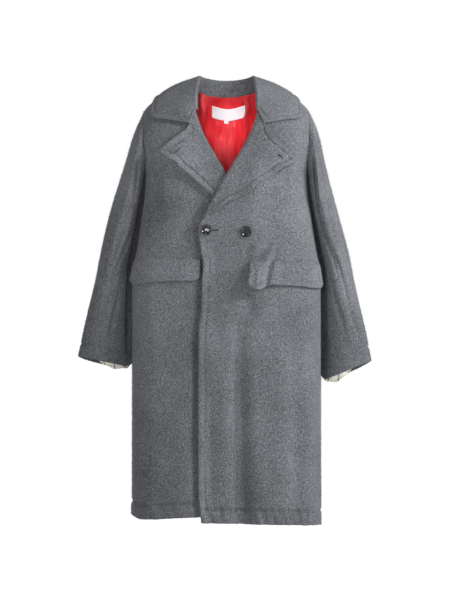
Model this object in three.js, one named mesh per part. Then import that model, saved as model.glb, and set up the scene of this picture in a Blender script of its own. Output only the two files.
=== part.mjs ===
// Long double-breasted coat in brushed wool, filled out as if worn and open at neck, cuffs and hem.
// Millimetres, +Z up. The front faces -Y, and +X is the wearer's left.
// The origin lies at the base of the neck, between the shoulders.
import * as THREE from "three";

// Cloth
const woolWall = 3;
const foldedWool = 5;
const liningWall = 1;
const seamGap = 0.2;
const layerGap = 1;
const liningGap = 2.8;

// Trunk
const armpitZ = -200;
const neckHalf = 76;
const neckPointZ = 22;
const backNeckZ = 8;
const armholeFront = 0.6;
const armholeBack = 0.6;
const sideSquareness = 3.3;

const trunkTable = [
  { z: 40, halfWidth: 224, front: 116, back: 104 },
  { z: -105, halfWidth: 222, front: 117, back: 106 },
  { z: -155, halfWidth: 212, front: 118, back: 108 },
  { z: -200, halfWidth: 206, front: 119, back: 109 },
  { z: -255, halfWidth: 209, front: 120, back: 109 },
  { z: -300, halfWidth: 216, front: 120, back: 109 },
  { z: -350, halfWidth: 223, front: 121, back: 110 },
  { z: -395, halfWidth: 231, front: 122, back: 112 },
  { z: -430, halfWidth: 238, front: 123, back: 113 },
  { z: -500, halfWidth: 240, front: 124, back: 115 },
  { z: -800, halfWidth: 240, front: 127, back: 121 },
  { z: -1085, halfWidth: 241, front: 129, back: 126 },
];

// Height of the shoulder line, from the neck out to the sleeve head.
const shoulderTable = [
  { x: 0, z: 46 },
  { x: 76, z: 22 },
  { x: 120, z: 16 },
  { x: 150, z: 9 },
  { x: 180, z: -1 },
  { x: 195, z: -12 },
  { x: 212, z: -32 },
  { x: 230, z: -70 },
];

// Where each front folds back into its lapel, then the front edge of the upper one.
const rollTable = [
  { z: 40, x: 75 },
  { z: 22, x: 76 },
  { z: 0, x: 78 },
  { z: -32, x: 77 },
  { z: -51, x: 72 },
  { z: -77, x: 63 },
  { z: -115, x: 45 },
  { z: -156, x: 21 },
  { z: -194, x: -1 },
  { z: -222, x: -17 },
  { z: -270, x: -42 },
  { z: -300, x: -58 },
  { z: -318, x: -67 },
  { z: -345, x: -69 },
  { z: -385, x: -64 },
  { z: -422, x: -57 },
  { z: -455, x: -60 },
  { z: -530, x: -62 },
  { z: -590, x: -69 },
  { z: -840, x: -70 },
  { z: -970, x: -70 },
  { z: -1040, x: -66 },
  { z: -1085, x: -60 },
];
const underLap = 66;
const underDrop = 2.5;
const lapelRoom = 11;

// Hem height along the width, for the three panels.
const hemTable = [
  { x: -245, upper: -1071, under: -1050, back: -1052 },
  { x: -215, upper: -1071, under: -1061, back: -1058 },
  { x: -70, upper: -1070, under: -1055, back: -1062 },
  { x: 70, upper: -1073, under: -1055, back: -1066 },
  { x: 245, upper: -1078, under: -1055, back: -1077 },
];

// Soft folds pressed into the cloth: troughs are positive. Heights run from top to bottom.
const frontFolds = [
  { x: 40, lean: 10, top: -560, bottom: -1120, width: 26, depth: 6 },
  { x: 120, lean: 20, top: -640, bottom: -1140, width: 34, depth: -3 },
  { x: 178, lean: -6, top: -500, bottom: -1120, width: 24, depth: 3 },
  { x: -150, lean: -18, top: -600, bottom: -1140, width: 30, depth: 4 },
  { x: -100, lean: 6, top: -700, bottom: -1140, width: 24, depth: -3 },
  { x: 165, lean: 8, top: -120, bottom: -330, width: 20, depth: 4 },
  { x: -165, lean: -8, top: -120, bottom: -320, width: 20, depth: 4 },
];
const backFolds = [
  { x: 6, lean: -8, top: -420, bottom: -1140, width: 32, depth: 7 },
  { x: -95, lean: -24, top: -560, bottom: -1140, width: 30, depth: -4 },
  { x: 104, lean: 26, top: -600, bottom: -1140, width: 34, depth: -4 },
  { x: -165, lean: 6, top: -150, bottom: -400, width: 22, depth: 5 },
  { x: 160, lean: -6, top: -150, bottom: -430, width: 22, depth: 5 },
];

// Sleeve sections from the armhole to the cuff: the outer and the inner end of each, as seen from the
// front, its half depth, how far its middle lies from y = 0, and where its inner end lies against the body.
const sleeveLeft = [
  { outX: 227, outZ: -66, inX: 208.5, inZ: -209, half: 69, y: 0, inY: 0 },
  { outX: 239, outZ: -104, inX: 209.5, inZ: -224, half: 74, y: 2, inY: 8 },
  { outX: 249, outZ: -152, inX: 210.5, inZ: -246, half: 75, y: 4, inY: 16 },
  { outX: 262, outZ: -206, inX: 213.5, inZ: -278, half: 73, y: 6, inY: 24 },
  { outX: 280, outZ: -272, inX: 219, inZ: -324, half: 70, y: 8, inY: 32 },
  { outX: 298, outZ: -338, inX: 228.6, inZ: -376, half: 67, y: 9, inY: 36 },
  { outX: 315, outZ: -402, inX: 239, inZ: -433, half: 63, y: 9, inY: 38 },
  { outX: 328, outZ: -464, inX: 239, inZ: -490, half: 57, y: 8, inY: 38 },
  { outX: 341, outZ: -526, inX: 239.3, inZ: -554, half: 49, y: 7, inY: 36 },
  { outX: 356, outZ: -592, inX: 239.5, inZ: -628, half: 40, y: 5, inY: 34 },
  { outX: 370, outZ: -662, inX: 240, inZ: -716, half: 31, y: 3, inY: 30 },
];
const sleeveRight = [
  { outX: 227, outZ: -66, inX: 208.5, inZ: -209, half: 69, y: 0, inY: 0 },
  { outX: 241, outZ: -102, inX: 209.5, inZ: -224, half: 74, y: 2, inY: 8 },
  { outX: 256, outZ: -154, inX: 210.5, inZ: -246, half: 75, y: 4, inY: 16 },
  { outX: 272, outZ: -205, inX: 213.5, inZ: -276, half: 73, y: 6, inY: 24 },
  { outX: 293, outZ: -272, inX: 218.5, inZ: -320, half: 70, y: 8, inY: 32 },
  { outX: 310, outZ: -338, inX: 226.5, inZ: -368, half: 67, y: 9, inY: 36 },
  { outX: 324, outZ: -400, inX: 236, inZ: -422, half: 63, y: 9, inY: 38 },
  { outX: 337, outZ: -462, inX: 239, inZ: -482, half: 57, y: 8, inY: 38 },
  { outX: 351, outZ: -524, inX: 239.3, inZ: -547, half: 49, y: 7, inY: 36 },
  { outX: 365, outZ: -588, inX: 239.5, inZ: -614, half: 40, y: 5, inY: 34 },
  { outX: 379, outZ: -651, inX: 240, inZ: -681, half: 31, y: 3, inY: 30 },
];
// The cuff's edge rises where it meets the body and hangs lower behind.
const cuffRise = { left: 22, right: 18 };
const cuffRiseFrom = 0.82;
const cuffDrop = 9;
const underSleeveFrom = 126;
const armholeGap = 0.5;
const armholeMiddleZ = -116;
const sleeveSeamDegrees = 0.5;
const sleeveLiningUp = 1.2;
const sleeveLiningDown = 9;

// Collar stations from the gorge at the front to the centre of the back: the neck seam, the fold and
// the outer edge at each, and the radius of the fold.
const collarTable = [
  { seamX: 74, seamY: -73, seamZ: -27, foldX: 77.5, foldY: -85, foldZ: -25,
    edgeX: 93, edgeY: -102, edgeZ: -62, r: 2.8 },
  { seamX: 74.5, seamY: -64, seamZ: -16, foldX: 78.5, foldY: -79, foldZ: -12,
    edgeX: 112, edgeY: -97, edgeZ: -60, r: 3.4 },
  { seamX: 74.5, seamY: -51, seamZ: -1, foldX: 78, foldY: -66, foldZ: 6,
    edgeX: 146, edgeY: -87, edgeZ: -53, r: 4 },
  { seamX: 74, seamY: -37, seamZ: 12, foldX: 76, foldY: -48, foldZ: 25,
    edgeX: 180, edgeY: -73, edgeZ: -49, r: 4.5 },
  { seamX: 74, seamY: -20, seamZ: 21, foldX: 73, foldY: -28, foldZ: 42,
    edgeX: 192, edgeY: -59, edgeZ: -41, r: 4.5 },
  { seamX: 73.5, seamY: -2, seamZ: 25, foldX: 70, foldY: -8, foldZ: 54,
    edgeX: 189, edgeY: -36, edgeZ: -14, r: 4.5 },
  { seamX: 72, seamY: 13, seamZ: 24, foldX: 67, foldY: 12, foldZ: 60,
    edgeX: 178, edgeY: 2, edgeZ: 8, r: 4.5 },
  { seamX: 64, seamY: 26, seamZ: 20, foldX: 60, foldY: 30, foldZ: 58,
    edgeX: 165, edgeY: 42, edgeZ: -8, r: 4.5 },
  { seamX: 50, seamY: 39, seamZ: 15.5, foldX: 46, foldY: 45, foldZ: 55,
    edgeX: 137, edgeY: 62, edgeZ: -22, r: 4.5 },
  { seamX: 27, seamY: 50, seamZ: 11.5, foldX: 24, foldY: 56, foldZ: 52,
    edgeX: 82, edgeY: 75, edgeZ: -30, r: 4.5 },
  { seamX: 0, seamY: 54.5, seamZ: 10, foldX: 0, foldY: 60, foldZ: 51,
    edgeX: 0, edgeY: 86, edgeZ: -33, r: 4.5 },
];
const collarThick = 3.5;
const collarBulge = 7;
const collarLift = 6;

// Lapels, as seen from the front: the gorge and top edge out to the tip, then the edge down to the break.
const lapelLeft = {
  top: [[77, -29], [92, -66], [105, -79], [117, -98], [136, -114], [162, -137], [176, -154]],
  edge: [[176, -154], [171, -163], [156, -170], [136, -178], [112, -195], [80, -214], [60, -233],
    [30, -252], [-1, -265], [-30, -286], [-52, -302]],
};
const lapelRight = {
  top: [[77, -29], [91, -66], [97, -79], [119, -94], [144, -113], [162, -126], [170, -135]],
  edge: [[170, -135], [158, -147], [138, -155], [126, -161], [117, -174], [93, -193], [70, -214],
    [38, -241], [0, -266], [-30, -288], [-52, -302]],
};
const breakZ = -302;
const gorgeZ = -29;
const rollOver = 5;
const lapelGap = 1.6;
// How a lapel turns round the edge of its front: steps past the edge and out from the cloth.
const rollTurns = [
  { outAcross: 4, outLift: -3, inAcross: 1.4, inLift: -3 },
  { outAcross: 5, outLift: 1, inAcross: 1.4, inLift: -1 },
  { outAcross: 3, outLift: 5, inAcross: 1.4, inLift: 1.2 },
  { outAcross: -4, outLift: 6.6, inAcross: -4, inLift: 1.6 },
];
const lapelTipLift = { left: 12, right: 22 };
const lapelFlattens = { left: 0.8, right: 1.7 };

// Pocket flaps
const flapThick = 5;
const flapCorner = 14;
const flapShort = 4;
const flapLeft = { from: 62, to: 236, top: -412, bottom: -470, endDrop: 12, innerLift: 16 };
const flapRight = { from: -67, to: -236, top: -404, bottom: -460, endDrop: 10, innerLift: 0 };

// Buttons
const buttonRadius = 14;
const buttonThick = 4.6;
const buttonGap = 1;
const buttonPlaces = [
  { name: "button_left", x: 49, z: -338 },
  { name: "button_right", x: -50, z: -334 },
];

// Label and size tab, on the back lining
const labelBox = { left: -37, right: 50, top: -10, bottom: -39 };
const tabBox = { left: -6, right: 5, top: -39.3, bottom: -46 };
const labelMiddle = 4;
const labelDip = 11;
const patchGap = 1.9;
const liningLevel = -0.15;
const facingWidth = 74;
const facingEdge = 98;

// Materials
function cloth(color, roughness) {
  return new THREE.MeshStandardMaterial({ color, roughness, metalness: 0, side: THREE.DoubleSide });
}
const wool = () => cloth("#6b6d70", 0.95);
const redLining = () => cloth("#c7252c", 0.45);
const creamLining = () => cloth("#e6e2d2", 0.6);
const labelCloth = () => cloth("#f1edf2", 0.7);
const gloss = () => new THREE.MeshStandardMaterial({ color: "#17181a", roughness: 0.2, metalness: 0 });

const coat = new THREE.Group();

// A smooth curve through one column of a table, read at any place along another.
function read(table, by, at, column) {
  const order = table[0][by] < table[table.length - 1][by] ? 1 : -1;
  const last = table.length - 1;
  if (order * (at - table[0][by]) <= 0) return table[0][column];
  if (order * (at - table[last][by]) >= 0) return table[last][column];
  let i = 0;
  while (order * (at - table[i + 1][by]) > 0) i += 1;
  const slope = (k) => (table[k + 1][column] - table[k][column]) / (table[k + 1][by] - table[k][by]);
  const tangent = (k) => {
    if (k === 0) return slope(0);
    if (k === last) return slope(last - 1);
    const before = slope(k - 1);
    const after = slope(k);
    return before * after <= 0 ? 0 : (2 * before * after) / (before + after);
  };
  const span = table[i + 1][by] - table[i][by];
  const t = (at - table[i][by]) / span;
  const start = table[i][column];
  const end = table[i + 1][column];
  return start * (1 + 2 * t) * (1 - t) ** 2
    + end * t * t * (3 - 2 * t)
    + span * (tangent(i) * t * (1 - t) ** 2 + tangent(i + 1) * t * t * (t - 1));
}

function smooth(from, to, at) {
  const t = Math.min(1, Math.max(0, (at - from) / (to - from)));
  return t * t * (3 - 2 * t);
}

function mix(a, b, t) {
  return a + (b - a) * t;
}

const shoulderZ = (x) => read(shoulderTable, "x", Math.abs(x), "z");

// The trunk's own surface. side is -1 for the front and 1 for the back, inset moves it inwards.
function ringDepth(x, z, side, inset) {
  const halfWidth = read(trunkTable, "z", z, "halfWidth") - inset;
  const depth = read(trunkTable, "z", z, side < 0 ? "front" : "back") - inset;
  const across = Math.min(1, Math.abs(x) / halfWidth);
  return depth * (1 - across ** sideSquareness) ** (1 / sideSquareness);
}

function climb(x, z, inset) {
  return Math.min(1, Math.max(0, (z - armpitZ) / (shoulderZ(x) - inset - armpitZ)));
}

function foldDepth(x, z, side) {
  let sum = 0;
  for (const fold of side < 0 ? frontFolds : backFolds) {
    const length = fold.top - fold.bottom;
    const along = (fold.top - z) / length;
    if (along <= 0 || along >= 1) continue;
    const across = (x - fold.x - fold.lean * along) / fold.width;
    sum += fold.depth * Math.sin(Math.PI * Math.min(1, along * 1.15)) ** 0.8 * Math.exp(-across * across);
  }
  return sum;
}

function trunkDepth(x, z, side, inset = 0) {
  const rise = Math.sqrt(1 - climb(x, z, inset) ** 2);
  const awayFromSide = smooth(0, 60, ringDepth(x, z, side, 0));
  return ringDepth(x, z, side, inset) * rise - foldDepth(x, z, side) * awayFromSide;
}

// The left front laps over the right one, and more where the lower lapel lies between them.
function lapLift(x, z) {
  const lapped = 1 - smooth(70, 165, x);
  const overLapel = smooth(-400, -305, z) * (1 - smooth(-190, -130, z)) * (1 - smooth(60, 120, Math.abs(x)));
  return (woolWall + layerGap) * lapped + lapelRoom * overLapel;
}

function frontDepth(x, z, which, inset = 0) {
  const lift = which === "left" ? lapLift(x, z) : -underDrop * smooth(-100, -62, x);
  return trunkDepth(x, z, -1, inset) + lift;
}

// Edge of the armhole on the trunk, at a share of the height from armpit to shoulder.
function armholePoint(level, side, inset) {
  const share = side < 0 ? armholeFront : armholeBack;
  const sine = share * Math.sqrt(1 - (1 - level) ** 4);
  let x = 206;
  let z = armpitZ;
  for (let i = 0; i < 6; i += 1) {
    z = mix(armpitZ, shoulderZ(x) - inset, level);
    const halfWidth = read(trunkTable, "z", z, "halfWidth") - inset;
    x = halfWidth * (1 - sine ** sideSquareness) ** (1 / sideSquareness);
  }
  return new THREE.Vector3(x, side * Math.max(seamGap, trunkDepth(x, z, side, inset)), z);
}

function topZ(x, side, inset) {
  const across = Math.abs(x) / neckHalf;
  if (side > 0 && across < 1) return mix(backNeckZ, neckPointZ - inset * 0.3, across ** 2.2);
  return shoulderZ(x) - inset;
}

// Height of a panel's row: level 1 is the shoulder, 0 the armpit and -1 the hem.
function rowZ(x, level, side, hem, inset) {
  if (level >= 0) return mix(armpitZ, topZ(x, side, inset), level);
  return mix(armpitZ, read(hemTable, "x", x, hem), -level);
}

function resample(points, count, from = 0, to = 1) {
  const lengths = [0];
  for (let i = 1; i < points.length; i += 1) {
    lengths.push(lengths[i - 1] + points[i].distanceTo(points[i - 1]));
  }
  const total = lengths[lengths.length - 1];
  const out = [];
  let j = 0;
  for (let k = 0; k <= count; k += 1) {
    const want = total * mix(from, to, k / count);
    while (j < points.length - 2 && lengths[j + 1] < want) j += 1;
    const span = lengths[j + 1] - lengths[j] || 1;
    out.push(points[j].clone().lerp(points[j + 1], Math.min(1, Math.max(0, (want - lengths[j]) / span))));
  }
  return out;
}

const denseSteps = 90;

// Where a front's own cloth ends: at its front edge, and just short of the roll along the lapel.
function edgeX(z, which) {
  const back = rollOver * smooth(breakZ - 25, breakZ + 8, z) * (1 - smooth(-20, 0, z));
  const x = read(rollTable, "z", z, "x") + back;
  return which === "left" ? x : Math.min(underLap, -x);
}

function liningEdgeX(z, which) {
  const x = Math.max(facingEdge, edgeX(z, "left") + facingWidth);
  return which === "left" ? x : -x;
}

// One row of a front, from the side seam or armhole to its inner edge.
function frontRow(level, which, inset, edgeAt = edgeX) {
  const sign = which === "left" ? 1 : -1;
  const hem = which === "left" ? "upper" : "under";
  const outerZ = rowZ(sign * 240, Math.min(level, 0), -1, hem, inset);
  let outerX = read(trunkTable, "z", outerZ, "halfWidth") - inset;
  if (level > 0) outerX = armholePoint(level, -1, inset).x;
  let innerX = 0;
  for (let i = 0; i < 8; i += 1) {
    innerX = edgeAt(rowZ(innerX, level, -1, hem, inset), which);
  }
  const points = [];
  for (let i = 0; i <= denseSteps; i += 1) {
    const x = mix(sign * outerX, innerX, 1 - Math.cos((Math.PI / 2) * (i / denseSteps)));
    const z = rowZ(x, level, -1, hem, inset);
    const y = -Math.max(seamGap, frontDepth(x, z, which, inset));
    points.push(new THREE.Vector3(x, y, z));
  }
  return points;
}

// One row of the back, from the left side to the right one.
function backRow(level, inset) {
  const points = [];
  for (let i = -denseSteps; i <= denseSteps; i += 1) {
    const sign = i < 0 ? 1 : -1;
    const outerZ = rowZ(sign * 240, Math.min(level, 0), 1, "back", inset);
    let outerX = read(trunkTable, "z", outerZ, "halfWidth") - inset;
    if (level > 0) outerX = armholePoint(level, 1, inset).x;
    const x = sign * outerX * Math.sin((Math.PI / 2) * Math.abs(i / denseSteps));
    const z = rowZ(x, level, 1, "back", inset);
    points.push(new THREE.Vector3(x, Math.max(seamGap, trunkDepth(x, z, 1, inset)), z));
  }
  return points;
}

// A closed wall between two grids of points. Where round is true, each row closes on itself.
function wall(name, outer, inner, material, round = false) {
  const rows = outer.length;
  const columns = outer[0].length;
  const position = [...outer.flat(), ...inner.flat()].flatMap((point) => point.toArray());
  const index = [];
  const at = (layer, row, column) => layer * rows * columns + row * columns + (column % columns);
  const quad = (a, b, c, d) => index.push(a, b, c, a, c, d);
  const spans = round ? columns : columns - 1;
  for (let row = 0; row < rows - 1; row += 1) {
    for (let column = 0; column < spans; column += 1) {
      quad(at(0, row, column), at(0, row, column + 1), at(0, row + 1, column + 1), at(0, row + 1, column));
      quad(at(1, row, column), at(1, row + 1, column), at(1, row + 1, column + 1), at(1, row, column + 1));
    }
  }
  for (let column = 0; column < spans; column += 1) {
    quad(at(0, 0, column), at(1, 0, column), at(1, 0, column + 1), at(0, 0, column + 1));
    quad(at(0, rows - 1, column), at(0, rows - 1, column + 1), at(1, rows - 1, column + 1),
      at(1, rows - 1, column));
  }
  for (let row = 0; row < rows - 1 && !round; row += 1) {
    quad(at(0, row, 0), at(0, row + 1, 0), at(1, row + 1, 0), at(1, row, 0));
    quad(at(0, row, columns - 1), at(1, row, columns - 1), at(1, row + 1, columns - 1),
      at(0, row + 1, columns - 1));
  }
  return solid(name, position, index, material);
}

// Adds a closed mesh to the coat, turned so that its faces point out.
function solid(name, position, index, material) {
  let volume = 0;
  const corner = (k) => new THREE.Vector3().fromArray(position, index[k] * 3);
  for (let k = 0; k < index.length; k += 3) {
    volume += corner(k).dot(corner(k + 1).cross(corner(k + 2)));
  }
  if (volume < 0) index.reverse();
  const geometry = new THREE.BufferGeometry();
  geometry.setAttribute("position", new THREE.Float32BufferAttribute(position, 3));
  geometry.setIndex(index);
  geometry.computeVertexNormals();
  const mesh = new THREE.Mesh(geometry, material);
  mesh.name = name;
  coat.add(mesh);
  return mesh;
}

// The grid moved along its own normals, by a distance that may differ from point to point.
function shifted(grid, distance) {
  const rows = grid.length - 1;
  const columns = grid[0].length - 1;
  return grid.map((line, row) => line.map((point, column) => {
    const down = grid[Math.min(rows, row + 1)][column].clone().sub(grid[Math.max(0, row - 1)][column]);
    const along = line[Math.min(columns, column + 1)].clone().sub(line[Math.max(0, column - 1)]);
    const move = typeof distance === "function" ? distance(row / rows, column / columns) : distance;
    return point.clone().addScaledVector(down.cross(along).normalize(), move);
  }));
}

// Levels of the panels' rows, from the hem to the shoulder. They lie closer down to the lapels' break.
const hemRows = 8;
const breakRows = 5;
const upperRows = 10;
const breakLevel = 0.15;
const levels = [];
for (let i = 0; i < hemRows; i += 1) levels.push(mix(-1, -breakLevel, (i / hemRows) ** 0.9));
for (let i = 0; i < breakRows; i += 1) levels.push(-breakLevel * (1 - i / breakRows));
for (let i = 0; i <= upperRows; i += 1) levels.push((1 - Math.cos((Math.PI * i) / upperRows)) / 2);

function front(which, columns) {
  const outer = levels.map((level) => resample(frontRow(level, which, 0), columns));
  const inner = levels.map((level) => resample(frontRow(level, which, woolWall), columns));
  wall(`front_${which}`, outer, inner, wool());
}

function back(columns) {
  const outer = levels.map((level) => resample(backRow(level, 0), columns));
  const inner = levels.map((level) => resample(backRow(level, woolWall), columns));
  wall("back", outer, inner, wool());
}

// Sleeves, each of a top and an under piece. angle 0 is the outer end of a section, 90 the front.
function sleevePoint(table, sign, section, degrees, inset) {
  const angle = THREE.MathUtils.degToRad(degrees);
  if (section < 0) {
    const side = Math.sin(angle) >= 0 ? -1 : 1;
    const point = armholePoint((1 + Math.cos(angle)) / 2, side, 0);
    const reach = Math.hypot(point.y, point.z - armholeMiddleZ);
    const share = 1 - inset / reach;
    return new THREE.Vector3(sign * (point.x + armholeGap), point.y * share,
      mix(armholeMiddleZ, point.z, share));
  }
  const low = Math.min(table.length - 1, Math.floor(section));
  const high = Math.min(table.length - 1, low + 1);
  const at = (column) => mix(table[low][column], table[high][column], section - low);
  const middle = (a, b) => (at(a) + at(b)) / 2;
  const centre = new THREE.Vector3(sign * middle("outX", "inX"), at("y"), middle("outZ", "inZ"));
  const reach = new THREE.Vector3(sign * (at("outX") - at("inX")) / 2, 0, (at("outZ") - at("inZ")) / 2);
  const length = reach.length();
  centre.addScaledVector(reach, ((length - inset) / length) * Math.cos(angle));
  centre.y -= (at("half") - inset) * Math.sin(angle);
  centre.y += (at("inY") - at("y")) * ((1 - Math.cos(angle)) / 2) ** 3;
  const nearCuff = Math.max(0, section - (table.length - 2));
  const nearBody = Math.max(0, -Math.cos(angle) - cuffRiseFrom) / (1 - cuffRiseFrom);
  const rise = cuffRise[sign > 0 ? "left" : "right"] * nearBody;
  centre.z += nearCuff * (rise - cuffDrop * Math.max(0, -Math.sin(angle)));
  return centre;
}

function sleevePiece(name, table, sign, from, to, columns) {
  const grid = (inset) => {
    const rows = [];
    for (let section = -1; section < table.length; section += 1) {
      const row = [];
      for (let i = 0; i <= columns; i += 1) {
        row.push(sleevePoint(table, sign, section, mix(from, to, i / columns), inset));
      }
      rows.push(row);
    }
    return rows;
  };
  wall(name, grid(0), grid(woolWall), wool());
}

function sleeve(which, table) {
  const sign = which === "left" ? 1 : -1;
  sleevePiece(`sleeve_top_${which}`, table, sign, -underSleeveFrom, underSleeveFrom, 16);
  const gap = sleeveSeamDegrees;
  sleevePiece(`sleeve_under_${which}`, table, sign, underSleeveFrom + gap, 360 - underSleeveFrom - gap, 7);
}

// A thin tube inside the cuff that hangs a little past it on the body's side.
function sleeveLining(which, table) {
  const sign = which === "left" ? 1 : -1;
  const last = table.length - 1;
  const columns = 20;
  const grid = (inset) => {
    const rows = [];
    for (const section of [last - sleeveLiningUp, last - sleeveLiningUp / 2, last, last + 1]) {
      const row = [];
      for (let i = 0; i < columns; i += 1) {
        const degrees = (360 * i) / columns;
        const point = sleevePoint(table, sign, Math.min(section, last), degrees, inset);
        if (section >= last) {
          const above = sleevePoint(table, sign, last - 1, degrees, inset);
          const way = point.clone().sub(above).normalize();
          const towardsBody = (1 - Math.cos(THREE.MathUtils.degToRad(degrees))) / 2;
          const low = sleeveLiningDown * mix(-0.7, 1, towardsBody);
          point.addScaledVector(way, section > last ? low : low - sleeveLiningDown);
        }
        row.push(point);
      }
      rows.push(row);
    }
    return rows;
  };
  const inset = woolWall + layerGap;
  wall(`sleeve_lining_${which}`, grid(inset), grid(inset + liningWall), creamLining(), true);
}

// Moves a point out of the trunk until it stands at least lift clear of its surface.
function clear(point, lift) {
  const side = point.y < 0 ? -1 : 1;
  const which = point.x > 0 ? "left" : "right";
  const depth = side < 0 ? frontDepth(point.x, point.z, which) : trunkDepth(point.x, point.z, 1);
  const short = depth + lift - Math.abs(point.y);
  const ring = ringDepth(point.x, point.z, side, 0);
  const share = Math.min(1, Math.abs(point.y) / ring);
  const topAt = armpitZ + (shoulderZ(point.x) - armpitZ) * Math.sqrt(1 - share * share);
  const low = topAt + lift - point.z;
  if (short <= 0 || low <= 0) return point;
  if (low < short) return new THREE.Vector3(point.x, point.y, point.z + low);
  return new THREE.Vector3(point.x, side * (depth + lift), point.z);
}

// The collar stands up from the neck seam, turns over at the fold and falls onto the shoulders.
function collar() {
  const stations = collarTable.map((row) => ({ ...row, sign: -1 }));
  collarTable.slice(0, -1).reverse().forEach((row) => stations.push({ ...row, sign: 1 }));
  const grid = stations.map((s) => {
    const seam = new THREE.Vector3(s.sign * s.seamX, s.seamY, s.seamZ);
    const fold = new THREE.Vector3(s.sign * s.foldX, s.foldY, s.foldZ);
    const edge = new THREE.Vector3(s.sign * s.edgeX, s.edgeY, s.edgeZ);
    const toSeam = seam.clone().sub(fold).normalize();
    const toEdge = edge.clone().sub(fold).normalize();
    const inward = toSeam.clone().add(toEdge).normalize();
    const across = toEdge.clone().sub(toSeam).normalize();
    const middle = fold.clone().addScaledVector(inward, s.r);
    const arc = (degrees) => middle.clone()
      .addScaledVector(across, -s.r * Math.cos(THREE.MathUtils.degToRad(degrees)))
      .addScaledVector(inward, -s.r * Math.sin(THREE.MathUtils.degToRad(degrees)));
    const line = [seam, seam.clone().lerp(arc(0), 0.55), arc(0), arc(60), arc(120), arc(180)];
    for (const t of [0.2, 0.45, 0.72]) {
      const point = arc(180).lerp(edge, t);
      line.push(clear(point.addScaledVector(across, collarBulge * Math.sin(Math.PI * t)), collarLift));
    }
    line.push(edge);
    return line;
  });
  wall("collar", shifted(grid, collarThick / 2), shifted(grid, -collarThick / 2), wool());
}

// A lapel lies on its front, hugs the front's edge along the roll and stands off towards its tip.
function lapel(which, shape) {
  const sign = which === "left" ? 1 : -1;
  const vector = ([x, z]) => new THREE.Vector3(x, 0, z);
  const rows = 12;
  const columns = 8;
  const top = resample(shape.top.map(vector), columns);
  const edge = resample(shape.edge.map(vector), rows);
  const outer = [];
  const inner = [];
  for (let i = 0; i <= rows; i += 1) {
    const z = mix(gorgeZ, breakZ, i / rows);
    const roll = new THREE.Vector3(edgeX(z, "left"), 0, z);
    const outerRow = [];
    const innerRow = [];
    const put = (row, x, atZ, lift) => {
      row.push(new THREE.Vector3(sign * x, -frontDepth(sign * x, atZ, which) - lift, atZ));
    };
    for (const turn of rollTurns) {
      put(outerRow, roll.x - turn.outAcross, z, turn.outLift);
      put(innerRow, roll.x - turn.inAcross, z, turn.inLift);
    }
    for (let j = 1; j <= columns; j += 1) {
      const share = j / columns;
      const spot = roll.clone().lerp(edge[i], share);
      const bow = top[j].clone().sub(top[0].clone().lerp(top[columns], share));
      spot.addScaledVector(bow, (1 - i / rows) ** 3);
      const rise = lapelTipLift[which] * share ** 1.6 * (1 - i / rows) ** lapelFlattens[which];
      put(outerRow, spot.x, spot.z, lapelGap + foldedWool + rise);
      put(innerRow, spot.x, spot.z, lapelGap + rise);
    }
    outer.push(outerRow);
    inner.push(innerRow);
  }
  wall(`lapel_${which}`, outer, inner, wool());
}

// A pocket flap lies on its front, with rounded lower corners.
function flap(which, size) {
  const rows = 4;
  const columns = 11;
  const width = Math.abs(size.to - size.from);
  const sign = which === "left" ? 1 : -1;
  const base = [];
  for (let i = 0; i <= rows; i += 1) {
    const row = [];
    for (let j = 0; j <= columns; j += 1) {
      const along = Math.sin((Math.PI / 2) * (j / columns));
      const nearEnd = Math.min(along, 1 - along) * width;
      const corner = Math.max(0, 1 - nearEnd / flapCorner);
      const bottom = size.bottom - size.endDrop * along ** 3 + flapCorner * (1 - Math.sqrt(1 - corner ** 2));
      const z = mix(size.top, bottom, i / rows);
      const reach = read(trunkTable, "z", z, "halfWidth") - flapShort;
      const x = mix(size.from, sign * Math.min(sign * size.to, reach), along);
      row.push(new THREE.Vector3(x, -frontDepth(x, z, which), z));
    }
    base.push(row);
  }
  const lift = (down, along) => layerGap + 4 * down ** 1.5 + size.innerLift * (1 - along) ** 4 * down ** 0.7;
  const under = shifted(base, (down, along) => sign * lift(down, along));
  const over = shifted(base, (down, along) => sign * (lift(down, along) + flapThick * (0.55 + 0.45 * down)));
  wall(`flap_${which}`, over, under, wool());
}

// A button is a turned disc with a raised rim and a shallow dish, square to the cloth below it.
function button(place) {
  const r = buttonRadius;
  const h = buttonThick;
  const profile = [[0, 0], [r * 0.55, 0], [r * 0.9, h * 0.3], [r, h * 0.62], [r * 0.95, h * 0.92],
    [r * 0.84, h], [r * 0.7, h * 0.82], [r * 0.58, h * 0.55], [0, h * 0.5]];
  const geometry = new THREE.LatheGeometry(profile.map(([x, y]) => new THREE.Vector2(x, y)), 28);
  const mesh = new THREE.Mesh(geometry, gloss());
  mesh.name = place.name;
  const depth = (dx, dz) => -frontDepth(place.x + dx, place.z + dz, "left");
  const normal = new THREE.Vector3(depth(8, 0) - depth(-8, 0), -16, depth(0, 8) - depth(0, -8)).normalize();
  mesh.quaternion.setFromUnitVectors(new THREE.Vector3(0, 1, 0), normal);
  mesh.position.set(place.x, depth(0, 0), place.z).addScaledVector(normal, buttonGap);
  coat.add(mesh);
}

// Linings, as far as the neck and the V let them be seen
function linings() {
  const upper = 8;
  const rows = [liningLevel, liningLevel / 2];
  for (let i = 0; i <= upper; i += 1) rows.push((1 - Math.cos((Math.PI * i) / upper)) / 2);
  const outset = woolWall + liningGap;
  const line = (inset) => rows.map((level) => resample(backRow(level, inset), 16));
  wall("lining_back", line(outset), line(outset + liningWall), redLining());
  for (const which of ["left", "right"]) {
    const side = (inset) => rows.map((level) => resample(frontRow(level, which, inset, liningEdgeX), 6));
    wall(`lining_${which}`, side(outset), side(outset + liningWall), redLining());
  }
}

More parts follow.
